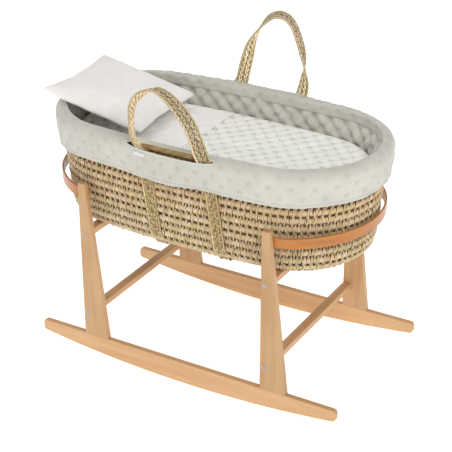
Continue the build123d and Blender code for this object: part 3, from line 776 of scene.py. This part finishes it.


# A handle's line from its head leg over the top to its foot leg, given as points: x, height above
# the turning line, how far it stands out from that line, and the turn of the strap's width from the
# plane of the arch towards +Y, in degrees, so that the strap looks broad and narrow where the real one
# does. PINCH is how much narrower the strap is where it leaves the slot.
PINCH = {"near": 0.45, "far": 0.0}
LEAF_LIGHT = {"near": 1.42, "far": 1.46}
HANDLE_LINES = {
    "near": [
        (-0.078, -0.023, -0.005, 30), (-0.089, -0.012, -0.003, 65), (-0.100, 0.002, 0.001, 100),
        (-0.105, 0.032, 0.005, 105), (-0.103, 0.070, 0.007, 100), (-0.096, 0.098, 0.010, 85),
        (-0.080, 0.121, 0.012, 70), (-0.057, 0.140, 0.013, 75), (-0.032, 0.147, 0.013, 85),
        (-0.009, 0.140, 0.013, 95), (0.012, 0.125, 0.011, 105), (0.034, 0.103, 0.010, 115),
        (0.054, 0.075, 0.008, 120), (0.068, 0.043, 0.005, 130), (0.077, 0.012, 0.003, 145),
        (0.087, -0.011, -0.001, 170), (0.092, -0.024, -0.006, 180),
    ],
    "far": [
        (-0.084, -0.024, -0.006, 10), (-0.080, -0.008, -0.001, 10), (-0.074, 0.006, 0.003, 20),
        (-0.068, 0.035, 0.005, 30), (-0.061, 0.070, 0.008, 45), (-0.052, 0.106, 0.010, 70),
        (-0.036, 0.140, 0.012, 95), (-0.011, 0.173, 0.013, 115), (0.012, 0.189, 0.013, 110),
        (0.029, 0.192, 0.013, 105), (0.050, 0.186, 0.013, 95), (0.068, 0.167, 0.012, 90),
        (0.084, 0.134, 0.010, 90), (0.095, 0.100, 0.009, 85), (0.102, 0.066, 0.006, 60),
        (0.102, 0.034, 0.005, 25), (0.099, 0.008, 0.003, 10), (0.096, -0.008, -0.001, 5),
        (0.095, -0.024, -0.006, 0),
    ],
}


def joint_of(name):
    return next(joint for joint in frame["joints"] if joint["name"] == name)


def handle(side):
    """Braided strap handle that twists over its arch and bends where it leaves the basket."""
    sign = SLOT_SIDES[side]
    pivot = joint_of(f"handle_{side}_swing")["pos_m"]
    # The turn goes along as a fourth coordinate, scaled down.
    facts = resample([(x, sign * out + pivot[1], pivot[2] + up, turn / 1000)
                      for x, up, out, turn in HANDLE_LINES[side]], 0.0021)
    line, turn = facts[:, :3], np.radians(facts[:, 3] * 1000)
    tangent = unit(np.gradient(line, axis=0))
    inner = unit(np.cross(np.array([0, 1.0, 0]), tangent))
    cross = np.cross(tangent, inner)
    width_way = inner * np.cos(turn)[:, None] + cross * np.sin(turn)[:, None]
    pinched = 1 - PINCH[side] * (1 - smooth_step(lengths(line), 0.018, 0.060))
    shape = Shape()
    width = STRAP_WIDTH * 1.02 * pinched
    braid(shape, np.random.default_rng(23 if side == "near" else 24), line, width_way,
          np.cross(width_way, tangent), width, 0.044, 0.06, LEAF_LIGHT[side], -0.0026)
    return shape.build(f"handle_{side}_braid", [palm_leaf(f"handle {side}", (242, 249, 255), 0.8)])


def rope_border():
    """Twisted border of six thin strands along the top of the wall."""
    shape = Shape()
    random = np.random.default_rng(31)
    radius = (ROPE_HIGH.z - ROPE_LOW.z) / 2
    grow = (ROPE_HIGH.x - ROPE_LOW.x) / 2 - radius - HALF_LENGTH
    s = np.linspace(0, PERIMETER, 800, endpoint=False)
    centre = oval(s, grow, (ROPE_HIGH.z + ROPE_LOW.z) / 2)
    outwards = unit(oval(s, grow + 0.01, ROPE_LOW.z) - oval(s, grow, ROPE_LOW.z))
    twists = round(PERIMETER / 0.066)
    strands = 6
    for index in range(strands):
        turn = math.tau * (twists * s / PERIMETER + index / strands)
        away = outwards * np.cos(turn)[:, None] + np.array([0, 0, 1.0]) * np.sin(turn)[:, None]
        tone = tone_along(random, s, 0.10) * 0.66
        strand(shape, centre + away * radius * 0.66, away, radius * 0.40, radius * 0.32, tone,
               closed_loop=True, u=index * 0.1, side_shade=0.55, sides=6)
    # Painted shade: a dark core under the strands, showing in the gaps between them.
    shade_backing = np.full((len(s), 3), ROPE_SHADE_BACKING)
    strand(shape, centre, outwards, radius * 0.6, radius * 0.6, shade_backing, closed_loop=True, sides=6)
    return shape.build("rim_rope_twist", [palm_leaf("rope", (246, 232, 200))])


# ---------------- liner

SKIRT_PROFILE = [
    (-0.0052, RIM_Z - 0.0240), (-0.0048, RIM_Z - 0.0140), (-0.0018, RIM_Z - 0.0058),
    (0.0048, RIM_Z - 0.0006), (0.0120, RIM_Z + 0.0008), (0.0200, RIM_Z + 0.0004),
    (0.0275, RIM_Z - 0.0018), (0.0335, RIM_Z - 0.0068),
    (LINER_GROW, RIM_Z - 0.0150), (LINER_GROW, RIM_Z - 0.0300), (LINER_GROW - 0.0025, RIM_Z - 0.0500),
    (LINER_GROW - 0.0050, RIM_Z - 0.0700), (LINER_GROW - 0.0065, HEM_Z + 0.0030),
    (LINER_GROW - 0.0072, HEM_Z - 0.0003), (LINER_GROW - 0.0090, HEM_Z - 0.0013),
    (LINER_GROW - 0.0112, HEM_Z + 0.0010), (LINER_GROW - 0.0120, HEM_Z + 0.0060),
    (LINER_GROW - 0.0120, HEM_Z + 0.0140),
]
PROFILE = resample(SKIRT_PROFILE, 0.0005)
PROFILE_V = lengths(PROFILE)
HEM_V = float(PROFILE_V[np.argmin(PROFILE[:, 1])])
OUTSIDE = PROFILE[:, 0] > 0.02
TIP_V = float(np.interp(0.0068 - RIM_Z, -PROFILE[OUTSIDE, 1], PROFILE_V[OUTSIDE]))
UPPER_V = float(np.interp(0.0120, PROFILE[PROFILE_V < TIP_V, 0], PROFILE_V[PROFILE_V < TIP_V]))
LOWER_V = TIP_V + 0.0105
LIP_DROP = 0.0075            # the near slot's inner lip turns down by this much
RIM_THIN = 0.0120            # the rim is thinner by this much at both ends
HEM_STITCH = -0.0100         # v of the hem's stitching, from the hem
SECTION_STEP = 0.0008        # half the run over which the skirt's direction is taken
TAG_BELOW_SLOT = 0.0045
TAG_SHOWS = 0.008            # depth of the tag outside its seam
FAR_LIP = 0.55               # the far slot opens inwards by this share of the near one
SLOT_SIDES = {"near": -1, "far": 1}


def end_share(s):
    """1 at both ends of the oval, falling to 0 along its sides."""
    return smooth_step(np.abs(oval(s, 0.0, 0.0)[..., 0] - CENTRE_X), 0.150, 0.370)


def slot_opening(s):
    """0 outside the handle slots, rising to 1 at the middle of each."""
    opening = 0.0
    for side in SLOT_SIDES.values():
        middle = side_s(SLOT_X, side, LINER_GROW)
        share = (s - middle) / SLOT_HALF
        opening = opening + np.clip(1 - np.abs(share) ** 3.2, 0, 1) ** 0.75
    return opening


def slot_edges(s):
    """v of the inner and outer lips of the slots, and how far the inner lip turns down."""
    opening = slot_opening(s)
    far = oval(s, 0.0, 0.0)[..., 1] > 0
    inner = TIP_V - (TIP_V - UPPER_V) * opening * np.where(far, FAR_LIP, 1.0)
    outer = TIP_V + (LOWER_V - TIP_V) * opening
    return inner, outer, LIP_DROP * opening * np.where(far, 0.0, 1.0)


def skirt_point(s, v):
    """A point of the skirt's outer face, with its folds, puffs and dimples."""
    def section(at):
        return np.stack([np.interp(at, PROFILE_V, PROFILE[:, axis]) for axis in (0, 1)])

    grow, z = section(v)
    run = section(v + SECTION_STEP) - section(v - SECTION_STEP)
    run = run / np.maximum(np.hypot(*run), 1e-9)
    low = smooth_step(v, TIP_V, HEM_V)
    hang = smooth_step(v, TIP_V, TIP_V + 0.03) * (1 - smooth_step(v, HEM_V - 0.004, HEM_V))
    over = smooth_step(v, 0.0, 0.010) * (1 - smooth_step(v, TIP_V - 0.012, TIP_V + 0.012))
    over = over * smooth_step(oval(s, 0.0, 0.0)[..., 1], -0.02, 0.12)
    over = over * (1 - 0.8 * smooth_step(slot_opening(s), 0.0, 0.3)) * (1 - 0.75 * end_share(s))
    cell = (s, v - HEM_V, *LATTICE)
    out = 0.0010 * ripple(41, s, v, 9, 4) * (0.3 + low)
    out = out + (0.0038 * quilting(*cell, 0.8) - 0.0022 - 0.0028 * dimples(*cell, 0.009)) * over
    out = out + (0.0017 * quilting(*cell) - 0.0020 * dimples(*cell, 0.0085)) * hang
    out = out + 0.0005 * ripple(42, s, v, 34, 12) * hang
    out = out + 0.0011 * np.exp(-((v - HEM_V + 0.0040) / 0.0035) ** 2)
    out = out - 0.0007 * np.exp(-((v - HEM_V + 0.0100) / 0.0012) ** 2)
    sag = 0.0016 * ripple(43, s, 0.0, 5, 0) * low
    thinner = RIM_THIN * end_share(s) * (1 - smooth_step(v, 0.012, 0.036))
    return oval(s, grow + thinner - out * run[1], z + out * run[0] + sag)


def liner_skirt():
    """The turned-over cloth, from inside the rim over the border and down to the rolled hem, with
    a lens-shaped slot on each side."""
    shape = Shape()
    s = np.linspace(0, PERIMETER, 521)
    inner, outer, drop = slot_edges(s)
    upper = np.linspace(0, 1, 24)[:, None] * inner
    lower = outer + (PROFILE_V[-1] - outer) * np.linspace(0, 1, 36)[:, None]
    for v, turned_down in ((upper, drop), (lower, 0.0 * drop)):
        around = np.broadcast_to(s, v.shape)
        points = skirt_point(around, v)
        points[..., 2] -= smooth_step(np.linspace(0, 1, len(v)), 0.62, 1.0)[:, None] * turned_down
        uv = np.stack([around, v - HEM_V], axis=-1)
        shape.grids(points[None, :, :-1], uv[None], closed=True, flip=True)
    cloth = cotton("liner cloth", (202, 201, 191), (193, 191, 181), LATTICE,
                   ink=0.38, stitched_v=HEM_STITCH)
    piece = shape.build("liner_skirt_cloth", [cloth], weld=True)
    add_modifier(piece, "SOLIDIFY", thickness=CLOTH, offset=-1.0)
    settle(piece)
    return piece


def slot_tape(side):
    """Sewn tape round the edge of a handle slot."""
    middle = side_s(SLOT_X, SLOT_SIDES[side], LINER_GROW)
    s = middle + np.sin(np.linspace(-math.pi / 2, math.pi / 2, 90)) * SLOT_HALF
    upper, lower, drop = slot_edges(s)
    upper_line = skirt_point(s, upper)
    upper_line[:, 2] -= drop
    line = np.concatenate([upper_line, skirt_point(s, lower)[-2:0:-1]])
    cloth = np.concatenate([skirt_point(s, upper - 0.004), skirt_point(s, lower + 0.004)[-2:0:-1]])
    shape = Shape()
    strand(shape, line, unit(line - cloth), 0.0017, 0.0016, np.ones(3), closed_loop=True, sides=10)
    return shape.build(f"slot_tape_{side}", [cotton(f"slot tape {side}", (220, 221, 213), (206, 208, 198))])


def hem_elastic():
    """Elastic cord inside the rolled hem."""
    shape = Shape()
    s = np.linspace(0, PERIMETER, 300, endpoint=False)
    line = oval(s, LINER_GROW - 0.0093, HEM_Z + 0.0036)
    strand(shape, line, np.array([0, 0, 1.0]), 0.0014, 0.0014, np.ones(3), closed_loop=True)
    return shape.build("hem_elastic", [cotton("elastic", (226, 226, 220), (208, 208, 200))])


def pad_inside(z):
    """Inside of the padded lining at a height, as grow."""
    foot = -0.0235
    shoulder = -0.0040
    share = np.clip((z - FOOT_LINE_Z) / (WALL_TOP_Z - 0.004 - FOOT_LINE_Z), -0.05, 1.0)
    return foot + (shoulder - foot) * share


def liner_padding():
    """Quilted padding inside the wall: deep puffs between stitched diamonds, gathered at both ends."""
    s = np.linspace(0, PERIMETER, 441)
    foot_z = PAD_LOW.z + 0.0005
    z = np.linspace(foot_z, RIM_Z - 0.0150, 62)[:, None]
    around, v = np.broadcast_arrays(s, z - (RIM_Z - 0.0240) - HEM_V)
    wander = 0.0022 * ripple(53, around, v, 22, 14)
    puff = quilting(around + wander, v + wander, *LATTICE, 0.85)
    bend = smooth_step(np.abs(oval(s, 0.0, 0.0)[:, 0] - CENTRE_X), END_X * 0.9, HALF_LENGTH * 0.93)
    pleat = 0.5 + 0.5 * np.cos(math.tau * (around / 0.017) + 2.2 * ripple(51, s, 0.0, 20, 0))
    free = smooth_step(z, QUILT_HIGH.z - 0.02, QUILT_HIGH.z + 0.02)
    depth = 0.0052 * (1 - puff) + 0.0058 * dimples(around, v, *LATTICE, 0.0125)
    depth = depth + 0.0034 * pleat * bend * free + 0.0008 * ripple(52, around, v, 14, 8)
    thinner = RIM_THIN * end_share(s)
    high = smooth_step(z, RIM_Z - 0.050, RIM_Z - 0.018)
    inside = oval(around, pad_inside(z) + depth - 0.0028 * puff * free + thinner * high, z)
    over_rim = ((0.0030, 0.0085), (0.0090, 0.0050), (0.0130, 0.0070))
    back = [(pad_inside(RIM_Z) + grow, RIM_Z - down, thinner) for grow, down in over_rim]
    back += [(pad_inside(level) + 0.0135, level, 0.0) for level in np.linspace(RIM_Z - 0.02, foot_z, 7)]
    rest = np.stack([oval(s, grow + push, level) for grow, level, push in back])
    loop = np.concatenate([inside, rest, inside[:1]])[None, :, :-1]
    heights = np.concatenate([v[:, 0], v[-1, 0] + 0.01 * np.arange(1, len(back) + 2)])
    shape = Shape()
    shape.grids(loop, grid_uv(s, heights), closed=True)
    cloth = cotton("padding cloth", (212, 210, 200), (202, 200, 188), LATTICE, ink=0.60)
    return shape.build("liner_padding", [cloth], weld=True)


def liner_tag():
    """Small plain sewn tag under the near slot."""
    shape = Shape()
    width = TAG_HIGH.x - TAG_LOW.x
    x = np.linspace(-width / 2, width / 2, 14)
    down = np.linspace(0, 1, 6)
    middle = side_s((TAG_LOW.x + TAG_HIGH.x) / 2, -1, LINER_GROW)
    s, v = np.meshgrid(middle + x, LOWER_V + TAG_BELOW_SLOT + TAG_SHOWS * down)
    points = skirt_point(s, v)
    points[..., 1] -= (0.0006 + 0.0010 * down**2)[:, None] + 0.0003 * np.sin(x * 300)
    shape.grids(points[None], np.stack([s, v], axis=-1)[None], flip=True)
    piece = shape.build("liner_tag_cloth", [cotton("tag", (226, 230, 238), (214, 220, 230))])
    add_modifier(piece, "SOLIDIFY", thickness=0.0006, offset=1.0)
    settle(piece)
    return piece


# ---------------- bedding

def quilt_top(x, y):
    """Height of the quilt's upper face over its plain top, with puffs and tufts."""
    wander = 0.0012 * np.sin(38 * x + 21 * y) + 0.0010 * np.sin(53 * y - 17 * x + 1.0)
    puff = quilting(x + wander, y - wander, TUFT_X, TUFT_Y, 0.55)
    tuft = dimples(x, y, TUFT_X, TUFT_Y, 0.0095)
    loft = 0.0016 * np.cos(x * 9.0 + 1.0) * np.cos(y * 13.0)
    return 0.0062 * puff - 0.0044 * tuft + loft - 0.0026


def lofted(levels, columns):
    """Rows of points through ovals given as (share towards the spine, grow, z)."""
    s = np.linspace(0, PERIMETER, columns + 1)
    return s, np.stack([inwards(oval(s[:-1], grow, z), share) for share, grow, z in levels])


def flat_uv(s, points, top):
    """Plan coordinates on the upper rows from index `top`, and s against height below it."""
    closed = np.concatenate([points, points[:, :1]], axis=1)
    uv = np.stack(np.broadcast_arrays(s[None, :], closed[..., 2]), axis=-1).copy()
    uv[top:] = closed[top:, :, :2]
    return uv[None]


def quilt():
    """Thick quilted cover with rounded edges."""
    low_z, top_z = QUILT_LOW.z, QUILT_HIGH.z
    low_grow = pad_inside(low_z) - 0.0022
    high_grow = (QUILT_HIGH.x - QUILT_LOW.x) / 2 - HALF_LENGTH - 0.0004
    radius = 0.012
    levels = [(share, low_grow - 0.006, low_z) for share in (1.0, 0.6, 0.3, 0.0)]
    levels += [(0.0, low_grow - 0.001, low_z + 0.004)]
    for share in np.linspace(0.1, 1.0, 8):
        grow = low_grow + (high_grow - low_grow) * share + 0.0006 * math.sin(math.pi * share)
        levels.append((0.0, grow, low_z + (top_z - radius - low_z) * share))
    for turn in np.radians((25, 50, 72)):
        grow, z = high_grow - radius * (1 - math.cos(turn)), top_z - radius * (1 - math.sin(turn))
        levels.append((0.0, grow, z))
    top = len(levels) - 1
    levels += [(share, high_grow - radius, top_z) for share in np.linspace(0.02, 1.0, 52)]
    s, points = lofted(levels, 460)
    share = np.array([level[0] for level in levels])
    on_top = (np.arange(len(levels)) > top) * smooth_step(share, 0.0, 0.06)
    points[..., 2] += quilt_top(points[..., 0], points[..., 1]) * on_top[:, None]
    shape = Shape()
    shape.grids(points[None], flat_uv(s, points, top), closed=True, flip=True)
    cloth = cotton("quilt cloth", (245, 245, 240), (238, 238, 232), (TUFT_X, TUFT_Y), (140, 143, 134), 0.70)
    return shape.build("quilt_cover", [cloth], weld=True)


def mattress():
    """Foam mattress in a knitted cover with piping along both edges."""
    low_z, high_z = MATTRESS_LOW.z, MATTRESS_HIGH.z
    gap = 0.0030
    low_grow = pad_inside(low_z) - gap
    high_grow = (MATTRESS_HIGH.x - MATTRESS_LOW.x) / 2 - HALF_LENGTH - 0.0004
    tuck = 0.012
    tuck_share = 0.12
    steps = 22
    levels = [(share, low_grow - tuck, low_z) for share in (1.0, 0.6, 0.3, 0.0)]
    for index in range(steps + 1):
        share = index / steps
        z = low_z + 0.003 + (high_z - low_z - 0.006) * share
        grow = pad_inside(z) - gap
        if share <= tuck_share:
            grow = low_grow - tuck * (1 - share / tuck_share) ** 2 * 0.8
        piping = 0.0 if abs(share - 0.5) < 0.44 else -0.0016 * math.sin(index * math.pi / 2) ** 2
        levels.append((0.0, min(grow, high_grow) + piping, z))
    top = len(levels)
    levels += [(share, high_grow - 0.004, high_z) for share in np.linspace(0.0, 1.0, 12)]
    s, points = lofted(levels, 300)
    shape = Shape()
    shape.grids(points[None], flat_uv(s, points, top), closed=True, flip=True)
    cover = cotton("mattress cover", (238, 236, 230), (228, 226, 219), stitched_v=(low_z + high_z) / 2)
    return shape.build("mattress_cover", [cover], weld=True)


def top_sheet():
    """White sheet across the quilt, with soft creases and a folded foot edge."""
    edge_x = SHEET_HIGH.x
    x = np.linspace(SHEET_LOW.x + 0.003, edge_x, 78)
    rows = np.linspace(-1, 1, 84)[:, None]
    grow = pad_inside(QUILT_HIGH.z) - 0.0075
    past_side = np.maximum(np.abs(x - CENTRE_X) - END_X, 0)
    in_end = np.sqrt((END_RADIUS + grow) ** 2 - past_side**2)
    y = rows * np.where(past_side > 0, in_end, side_y(x, grow))
    xx = np.broadcast_to(x, y.shape)
    crease = 0.0005 * np.sin(9 + 60 * xx + 25 * y + 2 * np.sin(30 * y))
    crease = crease + 0.0004 * np.sin(120 * xx - 70 * y + 1.5 * np.sin(40 * xx))
    calm = 0.35 + 0.65 * smooth_step(xx, edge_x - 0.03, edge_x - 0.10)
    drop = 0.010 * smooth_step(np.abs(rows), 0.94, 1.0)
    z = QUILT_HIGH.z + 0.0036 + 0.20 * quilt_top(xx, y) + crease * calm - drop
    waver = 0.0035 * np.sin(y * 14 + 0.6) + 0.0012 * np.sin(y * 47)
    xx = xx + waver * smooth_step(xx, edge_x - 0.1, edge_x)
    points = np.stack([xx, y, z], axis=-1)
    fold = [points[:, -1] - np.array([back, 0.0, down])
            for back, down in ((-0.0002, 0.0012), (0.004, 0.0026), (0.014, 0.0030))]
    points = np.concatenate([points, np.stack(fold, axis=1)], axis=1)
    flat = np.concatenate([x, edge_x + np.array([0.001, 0.006, 0.017])])
    shape = Shape()
    shape.grids(points[None], np.stack(np.broadcast_arrays(flat, points[..., 1]), axis=-1)[None])
    piece = shape.build("top_sheet_cloth", [cotton("sheet cotton", (250, 247, 244), (245, 241, 238))])
    add_modifier(piece, "SOLIDIFY", thickness=SHEET_CLOTH, offset=-1.0)
    settle(piece)
    return piece


def pillow_blank(cells, side):
    """Two square faces joined along their edges, slightly domed."""
    steps = np.linspace(-1, 1, cells + 1)
    x, y = np.meshgrid(steps, steps)
    inside = (np.abs(x) < 1) & (np.abs(y) < 1)
    shape = Shape()
    for up in (1, -1):
        z = up * (0.0001 + 0.012 * (1 - x**2) * (1 - y**2)) * inside
        points = np.stack([x * side / 2, y * side / 2, z], axis=-1)
        uv = np.stack([x * side / 2 + up, y * side / 2], axis=-1)
        shape.grids(points[None], uv[None], flip=up < 0)
    return shape


def inflate(piece, frames, pressure):
    """Cloth simulation with air pressure and no gravity, its result applied."""
    cloth = add_modifier(piece, "CLOTH")
    values = {"quality": 8, "mass": 0.2, "tension_stiffness": 18, "compression_stiffness": 12,
              "shear_stiffness": 6, "bending_stiffness": 0.25, "use_pressure": True,
              "uniform_pressure_force": pressure}
    for name, value in values.items():
        setattr(cloth.settings, name, value)
    cloth.settings.effector_weights.gravity = 0.0
    cloth.collision_settings.use_collision = False
    cloth.point_cache.frame_start = 1
    cloth.point_cache.frame_end = frames
    scene = bpy.context.scene
    for step in range(1, frames + 1):
        scene.frame_set(step)
    settle(piece)
    scene.frame_set(1)


def pillow():
    """Soft square pillow, its head edge propped on the rim."""
    half = PILLOW_SIDE / 2
    shape = pillow_blank(44, PILLOW_SIDE)
    cloth = cotton("pillow cotton", (243, 240, 238), (236, 232, 229))
    piece = shape.build("pillow_case", [cloth], weld=True)
    before = np.array([vertex.co[:] for vertex in piece.data.vertices])
    inflate(piece, 20, 4.0)
    mesh = piece.data
    co = np.array([vertex.co[:] for vertex in mesh.vertices])
    spread = half / np.abs(co[:, :2]).max()
    co[:, :2] = co[:, :2] * spread * 0.30 + before[:, :2] * 0.70
    x, y = co[:, 0] / half, co[:, 1] / half
    loft = (np.abs(co[:, 2]) / np.abs(co[:, 2]).max()) ** 0.72
    co[:, 2] = np.sign(co[:, 2]) * loft * np.where(co[:, 2] > 0, 0.036, 0.028)
    co[:, 2] += 0.0012 * np.sin(23 * co[:, 0] + 11 * co[:, 1]) * (1 - np.clip(x, -1, 1) ** 2)
    co[:, 2] += 0.004 * (np.abs(x) * np.abs(y)) ** 3
    for along, away in ((co[:, 1], 1 - np.abs(x)), (co[:, 0], 1 - np.abs(y))):
        gathers = np.sin(along * 410 + 2.5 * np.sin(along * 70))
        pucker = gathers * np.exp(-away / 0.10) * np.minimum(away * 25, 1)
        co[:, 2] += 0.0009 * pucker * np.sign(co[:, 2])
    yaw = Matrix.Rotation(math.radians(PILLOW_YAW), 3, "Z")
    tilt = Matrix.Rotation(math.radians(PILLOW_TILT), 3, "Y")
    middle = (PILLOW_LOW + PILLOW_HIGH) / 2
    final = co @ np.array(yaw @ tilt).T + np.array([middle.x, middle.y, RIM_Z + 0.003])
    mesh.vertices.foreach_set("co", final.astype(np.float32).ravel())
    mesh.update()
    add_modifier(piece, "SUBSURF", levels=1, render_levels=1)
    settle(piece)
    return piece


# ---------------- the CAD pieces that stay

def dress(node, material):
    slots = frame["nodes"][node].data.materials
    slots.clear()
    slots.append(material)


def dress_stand():
    """Materials of the stand, which keeps its CAD shapes."""
    seed = 1
    for side in ("near", "far"):
        dress(f"rocker_{side}", beech(f"beech rocker {side}", 0, seed))
        seed += 1
        for end in ("head", "foot"):
            # Uprights get a darker copy of the beech (shade 0.91): painted shade, as their faces catch less
            # light than the rockers.
            dress(f"upright_{end}_{side}", beech(f"beech upright {end} {side}", 2, seed, 0.91))
            seed += 1
    for end in ("head", "foot"):
        for level in ("lower", "upper"):
            # Rails get a slightly darker copy (shade 0.96): painted shade as well.
            dress(f"{level}_rail_{end}", beech(f"beech {level} rail {end}", 1, seed, 0.96))
            seed += 1
        dress(f"hoop_{end}", bent_wood(f"bent wood {end}"))
    metal = steel("plated steel")
    for node in ("rail_bolts", "barrel_nuts", "hoop_screws"):
        dress(node, metal)
    dress("upright_dowels", beech("dowel", 2, seed))


# ---------------- stage, light, camera

def light(name, place, energy, size, colour=(1, 1, 1)):
    """Round soft light aimed at the middle of the basket."""
    data = bpy.data.lights.new(name, "AREA")
    data.energy = energy
    data.color = colour
    data.shape = "DISK"
    data.size = size
    lamp = bpy.data.objects.new(name, data)
    lamp.location = place
    lamp.rotation_euler = (LIGHT_AIM - Vector(place)).to_track_quat("-Z", "Y").to_euler()
    bpy.context.scene.collection.objects.link(lamp)


def studio():
    """Pale floor, soft light from above and the right, and a surround that is white near the horizon."""
    bpy.ops.mesh.primitive_plane_add(size=40)
    floor = bpy.context.object
    floor.name = "studio_floor"
    look = Look("studio floor", roughness=0.9, Emission_Strength=0.66, Emission_Color=(1, 1, 1, 1))
    tint = look.noise(look.place(), 3.0, 2.0, 0.5)
    floor.data.materials.append(look.done(look.mix(tint, srgb(246, 246, 245), srgb(243, 243, 243))))
    world = bpy.data.worlds.new("surround")
    world.use_nodes = True
    tree = world.node_tree
    sky = tree.nodes.new("ShaderNodeTexCoord")
    height = tree.nodes.new("ShaderNodeSeparateXYZ")
    fade = tree.nodes.new("ShaderNodeMapRange")
    fade.interpolation_type = "SMOOTHSTEP"
    for index, value in ((1, 0.15), (2, 0.60), (3, 1.0), (4, 0.34)):
        fade.inputs[index].default_value = value
    tree.links.new(sky.outputs["Generated"], height.inputs[0])
    tree.links.new(height.outputs[2], fade.inputs[0])
    tree.nodes["Background"].inputs[0].default_value = (1, 1, 1, 1)
    tree.links.new(fade.outputs[0], tree.nodes["Background"].inputs[1])
    bpy.context.scene.world = world
    light("key", (2.6, -2.2, 3.4), 70, 2.0, (1.0, 0.985, 0.96))
    light("top", (-0.4, 0.6, 3.6), 28, 2.6)
    light("fill", (-3.0, -2.6, 1.8), 12, 2.4, (0.97, 0.985, 1.0))
    bpy.context.scene.view_settings.view_transform = "Standard"


def camera():
    data = bpy.data.cameras.new("camera")
    data.sensor_width = SENSOR
    data.lens = LENS
    data.clip_end = 100.0
    eye = bpy.data.objects.new("camera", data)
    eye.location = EYE
    eye.rotation_euler = (math.radians(90 - EYE_DOWN), 0.0, math.radians(EYE_TURN))
    bpy.context.scene.collection.objects.link(eye)
    bpy.context.scene.camera = eye


# ---------------- all pieces on their bodies

def put(piece, body, slot, *nodes):
    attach(piece, body)
    if nodes:
        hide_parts(*nodes)
    return piece


camera()
studio()
dress_stand()

put(basket_weave(), "basket", "palm_weave", "basket_wall")
put(wall_core(), "basket", "palm_weave")
put(floor_weave(), "basket", "palm_weave", "basket_floor")
put(floor_core(), "basket", "palm_weave")
put(rope_border(), "basket", "palm_weave", "rim_rope")
for end in ("head", "foot"):
    put(strap(end), "basket", "braid", f"strap_{end}")

skirt = put(liner_skirt(), "basket", "liner", "liner_skirt")
padding = put(liner_padding(), "basket", "liner", "liner_wall")
tapes = [put(slot_tape(side), "basket", "binding", f"slot_binding_{side}") for side in SLOT_SIDES]
elastic = put(hem_elastic(), "basket", "liner", "hem_cord")
tag = put(liner_tag(), "basket", "tag", "liner_tag")

for side in SLOT_SIDES:
    piece = handle(side)
    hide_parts(f"handle_{side}")
    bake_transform(piece)

put(mattress(), "bedding", "mattress_cover", "mattress")
put(quilt(), "bedding", "quilting", "quilt")
sheet = put(top_sheet(), "bedding", "white_cotton", "top_sheet")
put(pillow(), "pillow", "white_cotton", "pillow")
